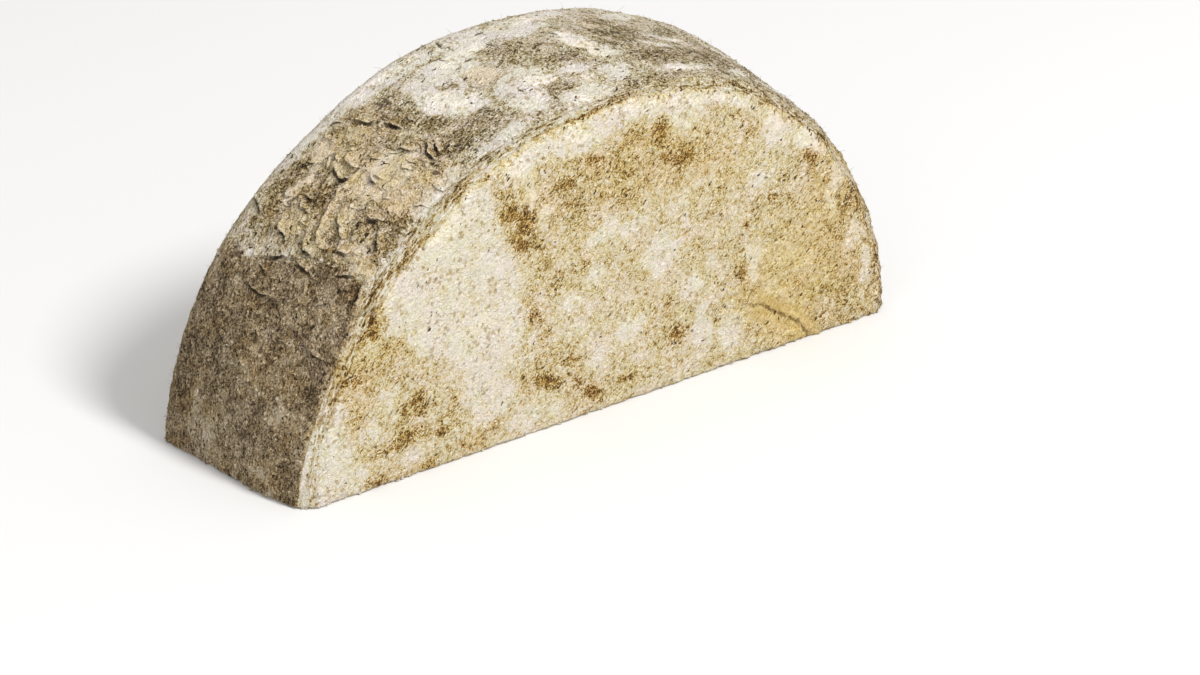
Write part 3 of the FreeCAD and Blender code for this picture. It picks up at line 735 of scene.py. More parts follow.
def make_flakes():
    """Curled lips of rind: each runs along a crack, joins the rind on one side and stands free over the crack."""
    rng = np.random.RandomState(31)
    per = math.pi * 103 / 180
    lines = []
    for k, path in enumerate(RIM_CRACKS):
        length = sum(math.hypot((b[0] - a[0]) * per, b[1] - a[1]) for a, b in zip(path, path[1:]))
        big = 1.0 if 39 < path[0][0] < 62 else 0.7
        lines.append((path, big * rng.uniform(2.2, 3.8), big * min(1.6, 0.55 + 0.085 * length) * rng.uniform(0.85, 1.15)))
    lines += SCRAPS
    while len(lines) < 120:
        t, depth = (rng.uniform(38, 63), rng.uniform(6, 48)) if rng.rand() < 0.5 else (rng.uniform(9, 38), rng.uniform(5, 50))
        size = rng.uniform(1.0, 2.6)
        turn = rng.uniform(-0.9, 0.9) + (0.5 if rng.rand() < 0.3 else 0)
        du, dv = math.sin(turn) * size, math.cos(turn) * size
        bow = rng.uniform(-0.5, 0.2) * size
        lines.append(([(t + du / per, depth + dv), (t + bow / per, depth), (t - du / per, depth - dv)], size * rng.uniform(0.5, 0.9), size * rng.uniform(0.18, 0.34)))
    strips, places = [], []
    for k, (path, wide, lift) in enumerate(lines):
        pts = np.array([(a * per, d) for a, d in path])
        gaps = np.concatenate([[0], np.cumsum(np.hypot(*np.diff(pts, axis=0).T))])
        count = int(np.clip(gaps[-1] / 0.32, 8, 60))
        at = np.linspace(0, gaps[-1], count)
        line = np.stack([np.interp(at, gaps, pts[:, 0]), np.interp(at, gaps, pts[:, 1])], -1)
        for _ in range(max(1, count // 10)):
            line[1:-1] = (line[:-2] + 2 * line[1:-1] + line[2:]) / 4
        tangent = np.gradient(line, axis=0)
        tangent /= np.maximum(np.linalg.norm(tangent, axis=1, keepdims=True), 1e-9)
        left = np.stack([-tangent[:, 1], tangent[:, 0]], -1)
        seed = np.stack([at, np.full(count, 11.3 * k), np.zeros(count)], -1)
        ragged = NOISE[3].octaves(seed, 2.6, 4, 0.75)
        taper = np.clip(np.sin(math.pi * (at / at[-1] * 0.94 + 0.03)), 0, 1) ** 0.7
        width = wide * (0.35 + 0.65 * taper) * (1 + 0.5 * NOISE[2].octaves(seed, 3.5, 3, 0.6))
        rise_to = lift * taper * (0.75 + 0.7 * NOISE[1](seed, 4.0))
        across = np.array([1.0, 0.8, 0.6, 0.42, 0.27, 0.14, 0.04, -0.05, -0.10])      # 1 is joined, below 0 is free
        for s in across:
            off = s * width + (0.75 * ragged * np.clip(1 - 2.2 * s, 0, 1))
            places.append(line + left * off[:, None])
        strips.append((k, across, count, rise_to))
    uv = np.concatenate(places)
    all_base, all_n = rind_point(uv[:, 0] / per, np.clip(uv[:, 1], 1.0, HEIGHT - 1.0), lips=False)
    parts, light, start = [], [], 0
    for k, across, count, rise_to in strips:
        rows_top, rows_low, free = [], [], []
        for s in across:
            base, n = all_base[start:start + count], all_n[start:start + count]
            start += count
            u = 1 - max(s, 0.0)
            curl = rise_to * (u ** 2.2) * (1.0 if s >= 0 else 1 - 1.6 * -s) - 0.12 * (1 - u) + 0.12 * NOISE[5](base + 17 * k, 1.4) * u
            thick = 0.30 - 0.18 * u
            rows_top.append(base + n * (curl + thick * 0.5)[:, None])
            rows_low.append(base + n * (curl - thick * 0.5 - 0.15 * (1 - u))[:, None])
            free.append(np.full(count, u))
        rows = len(across)
        top, low = np.concatenate(rows_top), np.concatenate(rows_low)
        faces = []
        total = rows * count
        for i in range(rows - 1):
            for j in range(count - 1):
                a, b, c, d = i * count + j, i * count + j + 1, (i + 1) * count + j + 1, (i + 1) * count + j
                faces.append([a, d, c, b])
                faces.append([total + a, total + b, total + c, total + d])
        ring = [j for j in range(count)] + [i * count + count - 1 for i in range(1, rows)] + \
            [(rows - 1) * count + j for j in range(count - 2, -1, -1)] + [i * count for i in range(rows - 2, 0, -1)]
        for a, b in zip(ring, ring[1:] + ring[:1]):
            faces.append([a, b, total + b, total + a])
        parts.append((np.concatenate([top, low]), faces))
        u = np.concatenate(free)
        # a painted highlight lightens each flake's top towards its free edge, and painted shade darkens its whole
        # underside
        light.append(np.concatenate([-0.15 * u ** 3, 0.35 + 0 * u]))
    obj = join("rind_flakes", parts)
    set_vertices_mm(obj.data, inside_cad(vertices_mm(obj.data)))
    return obj, np.concatenate(light)


def outward(mesh):
    n = np.empty(len(mesh.vertices) * 3, np.float32)
    mesh.vertices.foreach_get("normal", n)
    return n.reshape(-1, 3).astype(np.float64)


def grain_shape():
    """A twenty-sided grain: its points and faces."""
    g = (1 + math.sqrt(5)) / 2
    points = np.array([
        (-1, g, 0), (1, g, 0), (-1, -g, 0), (1, -g, 0), (0, -1, g), (0, 1, g), (0, -1, -g), (0, 1, -g), (g, 0, -1), (g, 0, 1), (-g, 0, -1), (-g, 0, 1),
    ]) / math.hypot(1, g)
    faces = [
        (0, 11, 5), (0, 5, 1), (0, 1, 7), (0, 7, 10), (0, 10, 11), (1, 5, 9), (5, 11, 4), (11, 10, 2), (10, 7, 6), (7, 1, 8),
        (3, 9, 4), (3, 4, 2), (3, 2, 6), (3, 6, 8), (3, 8, 9), (4, 9, 5), (2, 4, 11), (6, 2, 10), (8, 6, 7), (9, 8, 1),
    ]
    return points, faces


def make_grains(mesh, m):
    """Grains of dried mould and crumbs of rind that sit in the surface."""
    rng = np.random.RandomState(5)
    p, n = vertices_mm(mesh), outward(mesh)
    rind = -rind_distance(p) < 1.2
    crease = np.exp(-((m["ring"] / 2.0) ** 2)) * (m["depth"] < 7)
    weight = rind * (0.55 * m["front"] + 0.55 * m["back"] + 0.75 * m["rim"] + 0.5 * m["zone"]) * (1 - 0.8 * smooth(-0.2, 0.3, m["band"]) * (m["depth"] < 8)) + 0.25 * rind * crease
    weight = weight * (0.15 + smooth(-0.3, 0.3, NOISE[2].octaves(p + 60, 5.0, 3, 0.7)) * 1.6) * (1 - 0.7 * smooth(-0.1, 0.3, m["powder"]))
    weight = weight * (p[:, 2] > 0.5)
    cut_edge = rind * np.exp(-p[:, 2] / 0.8) * (p[:, 2] > 0.15)
    weight = weight + 1.6 * cut_edge
    chosen = rng.choice(len(p), 6800, replace=False, p=weight / weight.sum())
    shape, faces = grain_shape()
    parts, own_tone_and_shade = [], []
    for k in chosen:
        size = 0.13 + 0.24 * rng.rand() ** 2.2 + (0.25 * rng.rand() ** 3 if cut_edge[k] > 0.3 or crease[k] > 0.5 else 0.0)
        turn, _ = np.linalg.qr(rng.normal(size=(3, 3)))
        q = (shape * size * rng.uniform(0.7, 1.25, 3)) @ turn
        q = q * (1 + 0.16 * rng.normal(size=(12, 1)))
        if np.linalg.det(turn) < 0:
            part_faces = [f[::-1] for f in faces]
        else:
            part_faces = faces
        parts.append((p[k] + n[k] * size * rng.uniform(-0.15, 0.45) + q, part_faces))
        own_tone_and_shade.append(np.full(12, rng.choice([-0.26, -0.18, -0.1, 0.06, 0.22], p=[.25, .3, .2, .15, .1])))
    obj = join("rind_grains", parts)
    q = inside_cad(vertices_mm(obj.data))
    q[:, 2] = np.maximum(q[:, 2], 0.0)
    set_vertices_mm(obj.data, q)
    return obj, np.concatenate(own_tone_and_shade)


def make_hairs(mesh, m):
    """Fine mould hairs and fibres, mostly on the rim and along its edges."""
    rng = np.random.RandomState(9)
    p, n = vertices_mm(mesh), outward(mesh)
    rind = -rind_distance(p) < 1.0
    edge = np.exp(-((m["depth"] - 2) / 3) ** 2) + np.exp(-((m["depth"] - HEIGHT + 3) / 4) ** 2)
    weight = rind * (0.10 * (m["front"] + m["back"]) + m["rim"] * (0.5 + 0.7 * smooth(-0.2, 0.4, m["felt"])) + 0.8 * edge * m["rim"])
    weight = weight * (0.1 + smooth(-0.2, 0.35, NOISE[3].octaves(p + 80, 4.0, 3, 0.7))) * (p[:, 2] > 0.8)
    chosen = rng.choice(len(p), 3600, replace=False, p=weight / weight.sum())
    parts, own_tone_and_shade = [], []
    for k in chosen:
        length = 0.35 + 1.5 * rng.rand() ** 3.0
        thin = 0.035 + 0.03 * rng.rand()
        lean = rng.normal(size=3)
        lean -= n[k] * (lean @ n[k])
        way = n[k] * rng.uniform(0.35, 1.0) + 0.75 * lean / max(np.linalg.norm(lean), 1e-6)
        way /= np.linalg.norm(way)
        bend = rng.normal(size=3) * 0.35
        side = np.cross(way, [0.3, 0.5, 0.8])
        side /= np.linalg.norm(side)
        other = np.cross(way, side)
        rows = []
        for i in range(4):
            u = i / 3
            centre = p[k] - n[k] * 0.1 + way * length * u + bend * length * u * u
            for j in range(3):
                turn = 2 * math.pi * j / 3
                rows.append(centre + (side * math.cos(turn) + other * math.sin(turn)) * thin * (1 - 0.65 * u))
        faces = [(i * 3 + j, i * 3 + (j + 1) % 3, i * 3 + 3 + (j + 1) % 3, i * 3 + 3 + j) for i in range(3) for j in range(3)]
        faces += [(2, 1, 0), (9, 10, 11)]
        parts.append((np.array(rows), faces))
        own_tone_and_shade.append(np.full(12, rng.choice([-0.2, 0.0, 0.2, 0.35])))
    obj = join("mould_hairs", parts)
    q = inside_cad(vertices_mm(obj.data))
    q[:, 2] = np.maximum(q[:, 2], 0.0)
    set_vertices_mm(obj.data, q)
    return obj, np.concatenate(own_tone_and_shade)


# ---------------------------------------------------------------- materials

def linear(r, g, b):
    out = []
    for c in (r, g, b):
        c /= 255.0
        out.append(c / 12.92 if c <= 0.04045 else ((c + 0.055) / 1.055) ** 2.4)
    return (*out, 1.0)


class Tree:
    """Short names for making nodes."""

    def __init__(self, name):
        self.material = bpy.data.materials.new(name)
        self.material.use_nodes = True
        self.tree = self.material.node_tree
        self.tree.nodes.clear()

    def node(self, kind, inputs=None, **settings):
        node = self.tree.nodes.new(kind)
        for key, value in settings.items():
            setattr(node, key, value)
        for key, value in (inputs or {}).items():
            self.put(node.inputs[key], value)
        return node

    def put(self, socket, value):
        if hasattr(value, "node"):
            self.tree.links.new(value, socket)
        else:
            socket.default_value = value

    def math(self, op, a, b=0.0, c=None, clamp=False):
        node = self.tree.nodes.new("ShaderNodeMath")
        node.operation = op
        node.use_clamp = clamp
        self.put(node.inputs[0], a)
        self.put(node.inputs[1], b)
        if c is not None:
            self.put(node.inputs[2], c)
        return node.outputs[0]

    def attribute(self, name):
        return self.node("ShaderNodeAttribute", attribute_name=name).outputs["Fac"]

    def span(self, v, a, b, low=0.0, high=1.0, smooth=True):
        node = self.node("ShaderNodeMapRange", interpolation_type="SMOOTHSTEP" if smooth else "LINEAR")
        for key, value in zip(("Value", "From Min", "From Max", "To Min", "To Max"), (v, a, b, low, high)):
            self.put(node.inputs[key], value)
        return node.outputs[0]

    def mix(self, fac, a, b, blend="MIX"):
        node = self.node("ShaderNodeMix", data_type="RGBA", blend_type=blend)
        self.put(node.inputs[0], fac)
        self.put(node.inputs[6], a)
        self.put(node.inputs[7], b)
        return node.outputs[2]

    def ramp(self, fac, stops):
        node = self.node("ShaderNodeValToRGB")
        ramp = node.color_ramp
        while len(ramp.elements) < len(stops):
            ramp.elements.new(0.5)
        for element, (place, colour) in zip(ramp.elements, stops):
            element.position = place
            element.color = linear(*colour)
        self.put(node.inputs[0], fac)
        return node.outputs[0]

    def noise(self, vector, scale, detail=2.0, rough=0.5, distortion=0.0, kind="FBM"):
        node = self.node(
            "ShaderNodeTexNoise",
            {"Vector": vector, "Scale": scale, "Detail": detail, "Roughness": rough, "Distortion": distortion},
            noise_type=kind,
        )
        return node.outputs[0]

    def voronoi(self, vector, scale, randomness=1.0, feature="F1"):
        return self.node(
            "ShaderNodeTexVoronoi", {"Vector": vector, "Scale": scale, "Randomness": randomness}, feature=feature
        )


def cheese_material():
    t = Tree("cheese_rind_and_paste")
    place = t.node("ShaderNodeTexCoord").outputs["Object"]
    mm = t.node("ShaderNodeVectorMath", {0: place, 1: (1000.0, 1000.0, 1000.0)}, operation="MULTIPLY").outputs[0]
    a = {name: t.attribute(name) for name in (
        "rim", "tone", "pale", "brown", "deep", "powder", "plates", "spots", "mustard", "peach", "zone", "ring", "near", "strong",
        "crust", "crusted", "felt", "band", "run", "sink", "crease", "dots", "bandtone", "silky", "under", "paste", "hole", "own_tone_and_shade")}

    def add(x, y, k=1.0):
        """y times k, added to x."""
        return t.math("MULTIPLY_ADD", y, k, x)

    def times(x, y):
        return t.math("MULTIPLY", x, y)

    def toward(x, target, share):
        """x moved towards the target by the share."""
        return t.math("MULTIPLY_ADD", t.math("SUBTRACT", target, x), share, x)

    warp = t.node("ShaderNodeTexNoise", {"Vector": mm, "Scale": 0.8, "Detail": 2.0}).outputs[1]
    warped = t.node("ShaderNodeVectorMath", {0: warp, 1: (1.3, 1.3, 1.3), 2: mm}, operation="MULTIPLY_ADD").outputs[0]
    rag = t.math("SUBTRACT", t.noise(mm, 0.85, 4.0, 0.74), 0.5)
    rag2 = t.math("SUBTRACT", t.noise(warped, 1.7, 3.0, 0.7), 0.5)
    blotch = t.math("SUBTRACT", t.noise(mm, 0.26, 4.0, 0.62), 0.5)
    cluster = t.noise(warped, 0.30, 3.0, 0.62)
    hue = t.noise(mm, 0.13, 4.0, 0.62)

    def cover(name, much=0.9, soft=0.09, noise=rag):
        return t.span(add(a[name], noise, much), -soft, soft)

    ragged = add(rag, t.math("SUBTRACT", t.noise(warped, 0.5, 2.0, 0.6, 0.4), 0.5), 0.5)
    pale, powder, brown = cover("pale", 2.3, 0.10, ragged), cover("powder", 2.6, 0.30, ragged), cover("brown", 2.4, 0.24, ragged)
    deep, plates, peach = cover("deep", 2.4, 0.26, rag2), cover("plates", 2.0, 0.30), cover("peach", 3.0, 0.22, ragged)
    felt, band = cover("felt", 2.6, 0.20), cover("band", 1.8, 0.12)
    bandonly = times(band, t.span(a["ring"], -0.5, 0.1, 1.0, 0.0))
    notband = t.math("SUBTRACT", 1.0, bandonly)
    notfelt = t.math("SUBTRACT", 1.0, felt)

    # short strokes: slanting on the flat faces, along the rim on the rim
    slant = t.node("ShaderNodeMapping", {"Vector": warped, "Rotation": (0, math.radians(-42), 0), "Scale": (2.6, 1.0, 0.85)}, vector_type="TEXTURE").outputs[0]
    lay = t.node("ShaderNodeCombineXYZ", {
        0: times(add(a["run"], a["sink"], 0.8), 0.42), 1: add(a["sink"], a["run"], -0.35), 2: a["ring"]}).outputs[0]
    lay = t.node("ShaderNodeVectorMath", {0: warp, 1: (1.6, 1.6, 1.6), 2: lay}, operation="MULTIPLY_ADD").outputs[0]
    where = t.node("ShaderNodeMix", {0: t.span(a["rim"], 0.45, 0.55), 4: slant, 5: lay}, data_type="VECTOR").outputs[1]
    stroke = t.math("SUBTRACT", t.noise(where, 1.55, 3.0, 0.62), 0.5)
    fine = t.span(stroke, -0.14, 0.14, -0.5, 0.5, smooth=False)
    dark_stroke = t.span(stroke, 0.045, 0.13)
    light_stroke = t.span(stroke, -0.045, -0.13)
    patch = t.math("SUBTRACT", t.noise(warped, 0.55, 2.0, 0.6, 0.4), 0.5)

    grit = t.math("SUBTRACT", t.noise(mm, 2.3, 1.0, 0.5), 0.5)

    # crisp dark marks and soft freckles, both in clusters
    mark_cells = t.voronoi(where, 0.95)
    mark_kind = t.node("ShaderNodeSeparateColor", {0: mark_cells.outputs["Color"]})
    crowd = t.span(cluster, 0.44, 0.60)
    speck_share = add(t.math("MULTIPLY_ADD", crowd, 0.46, 0.05), times(brown, notfelt), 0.14)
    speck_share = add(speck_share, a["dots"], 0.45)
    speck = times(
        times(t.math("LESS_THAN", mark_kind.outputs[1], speck_share), t.math("MULTIPLY_ADD", times(bandonly, a["silky"]), -1.0, 1.0)),
        t.span(mark_cells.outputs["Distance"], 0.25, 0.35, 1.0, 0.0))
    freckle_cells = t.voronoi(warped, 0.62)
    freckle_kind = t.node("ShaderNodeSeparateColor", {0: freckle_cells.outputs["Color"]})
    freckle = times(
        t.math("LESS_THAN", freckle_kind.outputs[0], t.math("MULTIPLY_ADD", t.span(t.noise(mm, 0.14, 3.0, 0.65), 0.48, 0.60), 0.85, 0.03)),
        t.span(add(freckle_cells.outputs["Distance"], rag2, 0.9), 0.26, 0.54, 1.0, 0.0))

    # pale grains and lumps of mould
    lie = t.node("ShaderNodeMapping", {"Vector": warped, "Rotation": (0, math.radians(-42), 0), "Scale": (1.45, 1.0, 0.85)}, vector_type="TEXTURE").outputs[0]
    grains = t.voronoi(lie, 1.05)
    kind = t.node("ShaderNodeSeparateColor", {0: grains.outputs["Color"]})
    dome = t.span(grains.outputs["Distance"], 0.08, 0.62, 1.0, 0.0)
    pearl = times(t.math("GREATER_THAN", kind.outputs[0], 0.74), t.span(grains.outputs["Distance"], 0.14, 0.44, 1.0, 0.0))
    mound = t.voronoi(warped, 0.36)
    mound_kind = t.node("ShaderNodeSeparateColor", {0: mound.outputs["Color"]})
    mound_edge = add(add(mound.outputs["Distance"], rag, 1.5), t.math("MULTIPLY_ADD", mound_kind.outputs[1], -0.34, -0.10))
    mounds = times(t.span(mound_edge, -0.10, 0.10, 1.0, 0.0), t.math("GREATER_THAN", mound_kind.outputs[0], 0.42))

    # strands along the rim, in the band behind the crease
    along = t.node("ShaderNodeCombineXYZ", {0: times(a["run"], 0.24), 1: a["sink"], 2: a["ring"]}).outputs[0]
    along = t.node("ShaderNodeVectorMath", {0: warp, 1: (0.7, 0.7, 0.7), 2: along}, operation="MULTIPLY_ADD").outputs[0]
    strands = t.math("SUBTRACT", t.noise(along, 1.9, 4.0, 0.66), 0.5)
    strand = t.span(strands, -0.13, 0.13, -0.5, 0.5)
    long_spots = t.math("SUBTRACT", t.noise(along, 0.32, 2.0, 0.6), 0.5)

    # tone: 0 is white mould, 1 is black
    base = add(a["tone"], blotch, 0.8)
    base = add(base, patch, 0.50)
    base = add(base, a["zone"], 0.05)
    base = toward(base, t.math("MULTIPLY_ADD", blotch, 0.85, t.math("MULTIPLY_ADD", a["rim"], -0.05, 0.12)), times(pale, 0.90))
    base = toward(base, t.math("MULTIPLY_ADD", blotch, 1.10, t.math("MULTIPLY_ADD", a["rim"], 0.12, 0.60)), times(brown, t.math("MULTIPLY_ADD", a["rim"], 0.10, 0.78)))
    base = toward(base, 0.93, times(deep, t.math("MULTIPLY_ADD", brown, 0.64, 0.18)))
    base = toward(base, t.math("MULTIPLY_ADD", t.math("SUBTRACT", t.noise(lay, 0.11, 3.0, 0.6), 0.5), 1.0, t.math("MULTIPLY_ADD", blotch, 0.55, t.math("MULTIPLY_ADD", t.math("SUBTRACT", a["tone"], 0.47), 0.9, 0.695))), felt)
    base = add(base, times(patch, felt), 0.55)
    base = toward(base, t.math("MULTIPLY_ADD", blotch, 0.50, 0.33), times(plates, 0.62))
    base = toward(base, t.math("MULTIPLY_ADD", long_spots, 2.0, t.math("MULTIPLY_ADD", strand, 0.80, a["bandtone"])), bandonly)
    base = toward(base, t.math("MULTIPLY_ADD", a["rim"], 0.14, 0.26), times(times(mounds, t.span(base, 0.34, 0.56)), times(notband, t.math("MULTIPLY_ADD", felt, -0.60, 0.70))))
    base = toward(base, add(0.17, blotch, 0.5), times(powder, t.math("MULTIPLY_ADD", a["rim"], 0.45, 0.30)))
    # each piece's own tone shift: random tones of the grains and hairs, and on the flakes a painted highlight on the
    # free edge and painted shade underneath
    base = add(base, a["own_tone_and_shade"])
    much = t.span(base, 0.12, 0.66, 0.62, 1.25)
    much = times(much, t.math("MULTIPLY_ADD", powder, -0.45, 1.0))
    silk = times(bandonly, a["silky"])
    much = times(much, t.math("MULTIPLY_ADD", silk, -0.40, 1.0))
    much = times(much, t.math("MULTIPLY_ADD", felt, -0.22, 1.0))
    value = add(base, times(pearl, much), -0.20)
    value = add(value, times(dark_stroke, much), 0.30)
    value = add(value, times(light_stroke, much), -0.16)
    value = add(value, times(grit, much), 1.0)
    value = add(value, times(rag2, much), 0.70)
    value = add(value, times(rag, much), 0.75)
    value = add(value, times(patch, times(pale, t.math("MULTIPLY_ADD", a["rim"], -0.6, 1.0))), 0.60)
    value = add(value, times(freckle, t.span(base, 0.16, 0.52, 0.26, 0.12)))
    value = add(value, times(speck, t.span(base, 0.10, 0.50, 0.34, 0.40)))

    value = t.math("SUBTRACT", value, 0.075)

    # the crease: a thin broken dark line, part brown of the rind and part painted shade in the crease, with a slightly
    # darker strip on the face beside it
    line = t.span(t.math("ABSOLUTE", add(add(a["ring"], rag, 1.3), rag2, 0.6)), 0.06, 0.36, 1.0, 0.0)
    line = times(times(line, a["crease"]), t.span(long_spots, -0.10, 0.0))
    value = add(value, line, 0.46)
    lip = times(t.span(a["ring"], 0.0, 0.4), t.span(a["ring"], 0.8, 2.4, 1.0, 0.0))
    value = add(value, times(lip, a["crease"]), 0.05)

    front = t.ramp(value, [
        (0.0, (239, 234, 223)), (0.18, (234, 226, 206)), (0.37, (223, 209, 172)), (0.53, (207, 185, 131)),
        (0.67, (184, 154, 88)), (0.83, (139, 105, 49)), (1.0, (72, 50, 22)),
    ])
    side = t.ramp(value, [
        (0.0, (241, 237, 231)), (0.18, (232, 225, 213)), (0.37, (212, 201, 174)), (0.53, (181, 164, 124)),
        (0.70, (145, 124, 83)), (0.86, (102, 83, 48)), (1.0, (44, 34, 20)),
    ])
    grey = t.ramp(value, [
        (0.0, (238, 233, 225)), (0.18, (226, 218, 203)), (0.37, (205, 192, 165)), (0.53, (176, 158, 127)),
        (0.70, (143, 125, 97)), (0.86, (103, 87, 63)), (1.0, (46, 37, 25)),
    ])
    side = t.mix(felt, side, grey)
    side = t.mix(t.math("MULTIPLY", plates, 0.45), side, t.mix(1.0, side, linear(255, 246, 218), "MULTIPLY"))
    side = t.mix(t.math("MULTIPLY", a["zone"], 0.55), side, t.mix(1.0, side, linear(255, 240, 208), "MULTIPLY"))
    rind = t.mix(times(a["rim"], t.math("MULTIPLY_ADD", bandonly, -0.55, 1.0)), front, side)
    rind = t.mix(times(a["mustard"], 0.62), rind, t.mix(1.0, rind, linear(250, 234, 176), "MULTIPLY"))
    rind = t.mix(times(deep, t.math("MULTIPLY_ADD", a["rim"], -0.6, 0.7)), rind, t.mix(1.0, rind, linear(250, 236, 190), "MULTIPLY"))
    rind = t.mix(times(powder, t.math("MULTIPLY_ADD", a["rim"], -0.45, 0.45)), rind, linear(216, 208, 193))
    # a little pinker here and a little greener there
    tint = t.mix(t.span(hue, 0.38, 0.62), linear(255, 249, 246), linear(253, 252, 240))
    rind = t.mix(0.9, rind, t.mix(1.0, rind, tint, "MULTIPLY"))
    cool = t.node("ShaderNodeHueSaturation", {"Saturation": 0.66, "Value": 1.0, "Color": rind}).outputs[0]
    rind = t.mix(times(t.span(cluster, 0.44, 0.60), t.math("MULTIPLY_ADD", felt, -0.36, t.math("MULTIPLY_ADD", a["rim"], 0.40, 0.04))), rind, cool)
    warm = t.mix(1.0, rind, linear(255, 234, 212), "MULTIPLY")
    rind = t.mix(times(felt, t.span(hue, 0.44, 0.70, 0.0, 0.7)), rind, warm)
    rind = t.mix(times(peach, 0.66), rind, linear(248, 231, 200))

    # the long crack of the front face: egg yellow beside a brown line
    egg = times(t.span(t.math("ABSOLUTE", add(a["crust"], rag, 6.5)), 1.6, 5.4, 1.0, 0.0), a["crusted"])
    rind = t.mix(times(egg, 0.60), rind, t.mix(t.span(fine, -0.3, 0.3), linear(230, 202, 130), linear(206, 170, 92)))
    slit = times(t.span(t.math("ABSOLUTE", add(add(a["crust"], rag, 3.0), rag2, 2.2)), 0.10, 0.62, 1.0, 0.0), a["crusted"])
    slit = times(slit, t.span(t.noise(warped, 0.8, 2.0, 0.6), 0.36, 0.52, 0.25, 1.0))
    rind = t.mix(times(slit, 0.80), rind, linear(122, 84, 34))

    rind = t.mix(times(freckle, t.span(base, 0.20, 0.50, 0.60, 0.0)), rind, linear(172, 153, 121))
    rind = t.mix(times(speck, 0.30), rind, linear(134, 98, 44))
    black = times(times(t.math("GREATER_THAN", mark_kind.outputs[0], 0.67), speck), t.math("MULTIPLY_ADD", silk, -1.0, 1.0))
    rind = t.mix(times(black, 0.92), rind, linear(50, 36, 20))

    # cracks: painted shadow under each lifted edge, and painted shade on the dropped side beside it; then single marks
    painted_crack_shadow = times(t.span(t.math("ABSOLUTE", add(add(a["near"], rag, 0.9), 0.38)), 0.34, 0.86, 1.0, 0.0), a["strong"])
    shade = times(t.span(a["near"], -2.0, -0.2, 0.0, 1.0), times(t.span(a["near"], -0.1, 0.1, 1.0, 0.0), a["strong"]))
    rind = t.mix(times(shade, 0.60), rind, linear(104, 81, 49))
    rind = t.mix(times(painted_crack_shadow, 0.94), rind, linear(40, 31, 20))
    mark = t.span(add(a["spots"], rag2, 0.8), -0.08, 0.14)
    rind = t.mix(times(mark, 0.82), rind, linear(84, 66, 44))

    # the paste, deeper in colour towards the rind, and darker in its eyes
    inner = t.ramp(t.span(a["under"], 0.0, 14.0, smooth=False), [
        (0.0, (176, 140, 84)), (0.10, (196, 160, 98)), (0.18, (216, 188, 112)), (0.45, (238, 218, 142)), (1.0, (248, 232, 178)),
    ])
    inner = t.mix(times(a["hole"], 0.55), inner, linear(206, 168, 84))
    inner = t.mix(t.span(blotch, -0.15, 0.2, 0.0, 0.22), inner, linear(240, 216, 140))
    colour = t.mix(a["paste"], rind, inner)

    height = times(dome, 0.24)
    height = add(height, fine, -0.45)
    height = add(height, rag2, -0.8)
    height = add(height, rag, -0.9)
    height = times(height, t.math("MULTIPLY_ADD", powder, -0.45, 1.0))
    height = times(height, t.math("MULTIPLY_ADD", silk, -0.5, 1.0))
    height = add(height, mounds, 0.14)
    height = add(height, patch, -0.35)
    height = add(height, freckle, -0.10)
    height = add(height, speck, -0.30)
    height = add(height, powder, 0.14)
    height = add(height, times(plates, 0.16))
    height = add(height, painted_crack_shadow, -0.45)
    height = add(height, line, -0.30)
    height = add(height, times(strand, bandonly), -0.50)
    height = add(height, slit, -0.45)
    height = add(height, egg, 0.20)
    height = add(height, mark, -0.2)
    strength = t.span(a["paste"], 0.0, 1.0, 0.95, 0.10, smooth=False)
    bump = t.node("ShaderNodeBump", {"Strength": strength, "Distance": 0.0011, "Height": height})
    rough = t.span(a["paste"], 0.0, 1.0, 0.92, 0.50, smooth=False)
    shader = t.node("ShaderNodeBsdfPrincipled", {
        "Base Color": colour, "Roughness": rough, "Normal": bump.outputs[0], "Specular IOR Level": 0.3,
    })
    t.node("ShaderNodeOutputMaterial", {"Surface": shader.outputs[0]})
    return t.material


# ---------------------------------------------------------------- the cheese

body = make_body()
body_marks = paint(body.data, body=True)
map_body(body.data)
set_vertices_mm(body.data, inside_cad(vertices_mm(body.data)))
flakes, flake_painted_light = make_flakes()
paint(flakes.data, own_tone_and_shade=flake_painted_light, lips=False)
grains, grain_tones = make_grains(body.data, body_marks)
paint(grains.data, own_tone_and_shade=grain_tones)
hairs, hair_tones = make_hairs(body.data, body_marks)
paint(hairs.data, own_tone_and_shade=hair_tones)
look = cheese_material()
for obj in (body, flakes, grains, hairs):
    obj.data.materials.clear()
    obj.data.materials.append(look)
    print(obj.name, len(obj.data.vertices), sum(len(f.vertices) - 2 for f in obj.data.polygons))
    if obj is body:
        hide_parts("half_wheel")
    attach(obj, "root")

# ---------------------------------------------------------------- floor, light and camera

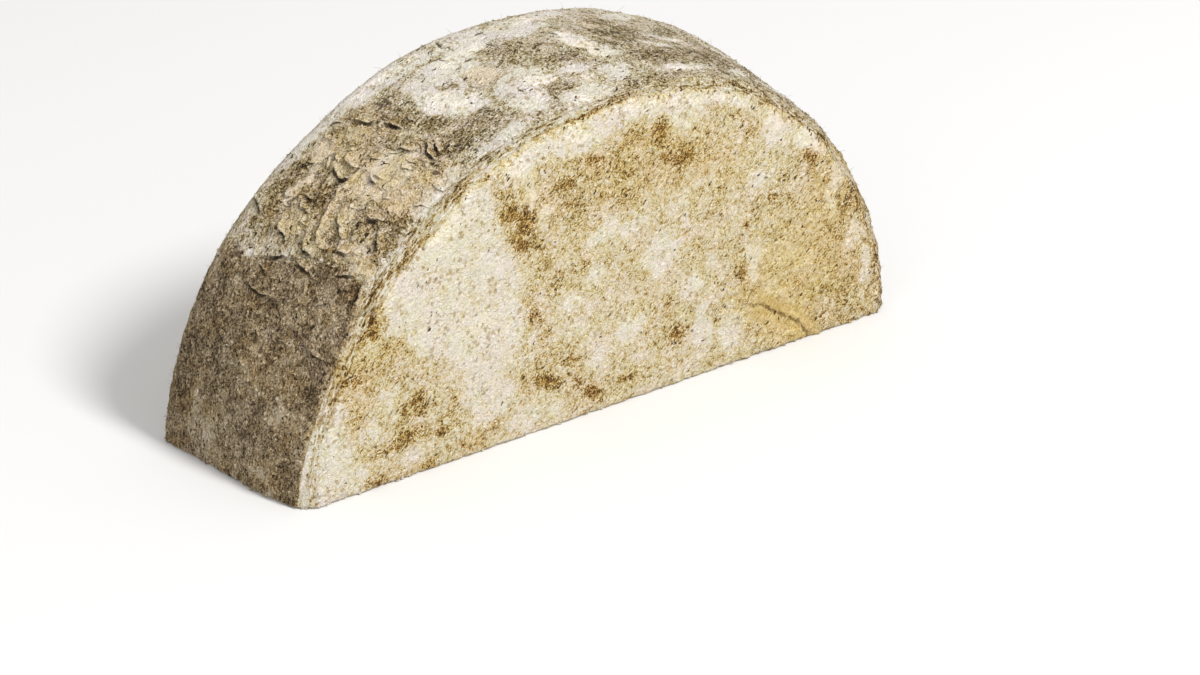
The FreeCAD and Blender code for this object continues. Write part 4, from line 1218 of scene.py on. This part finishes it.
floor_mesh = bpy.data.meshes.new("floor")
floor_mesh.from_pydata([(-20, -20, -0.0001), (20, -20, -0.0001), (20, 20, -0.0001), (-20, 20, -0.0001)], [], [(0, 1, 2, 3)])
floor = bpy.data.objects.new("floor", floor_mesh)
bpy.context.scene.collection.objects.link(floor)
ft = Tree("plain_floor")
fs = ft.node("ShaderNodeBsdfPrincipled", {"Base Color": (0.70, 0.70, 0.70, 1), "Roughness": 0.9, "Specular IOR Level": 0.1})
ft.node("ShaderNodeOutputMaterial", {"Surface": fs.outputs[0]})
floor_mesh.materials.append(ft.material)

world = bpy.data.worlds.new("studio")
world.use_nodes = True
world.node_tree.nodes["Background"].inputs[0].default_value = (1.0, 0.99, 0.975, 1)
world.node_tree.nodes["Background"].inputs[1].default_value = 0.70
bpy.context.scene.world = world


def area_light(name, place, target, size, watts, colour=(1, 1, 1)):
    data = bpy.data.lights.new(name, "AREA")
    data.shape = "DISK"
    data.size = size
    data.energy = watts
    data.color = colour
    obj = bpy.data.objects.new(name, data)
    obj.location = place
    obj.rotation_mode = "QUATERNION"
    obj.rotation_quaternion = (Vector(target) - Vector(place)).to_track_quat("-Z", "Y")
    bpy.context.scene.collection.objects.link(obj)


area_light("key", (0.35, -1.15, 1.45), (0, 0, 0.03), 0.5, 33, (1.0, 0.99, 0.975))
area_light("fill", (-1.4, -0.6, 0.7), (0, 0, 0.03), 1.0, 5, (0.98, 0.99, 1.0))

camera_data = bpy.data.cameras.new("camera")
camera_data.sensor_width = 36.0
camera_data.lens = 127.47
camera_data.clip_start, camera_data.clip_end = 0.05, 100
camera = bpy.data.objects.new("camera", camera_data)
right = (0.76055164, -0.64827557, 0.03605537)
up = (0.25615484, 0.3506192, 0.90080568)
forward = (0.59661202, 0.67587348, -0.43272293)
eye = (-0.6553412 + SHIFT / 1000, -0.735914 - HEIGHT / 2000, 0.492675)
camera.matrix_world = Matrix((
    (right[0], up[0], -forward[0], eye[0]),
    (right[1], up[1], -forward[1], eye[1]),
    (right[2], up[2], -forward[2], eye[2]),
    (0, 0, 0, 1),
))
bpy.context.scene.collection.objects.link(camera)
bpy.context.scene.camera = camera
bpy.context.scene.view_settings.view_transform = "Standard"
bpy.context.scene.view_settings.look = "None"
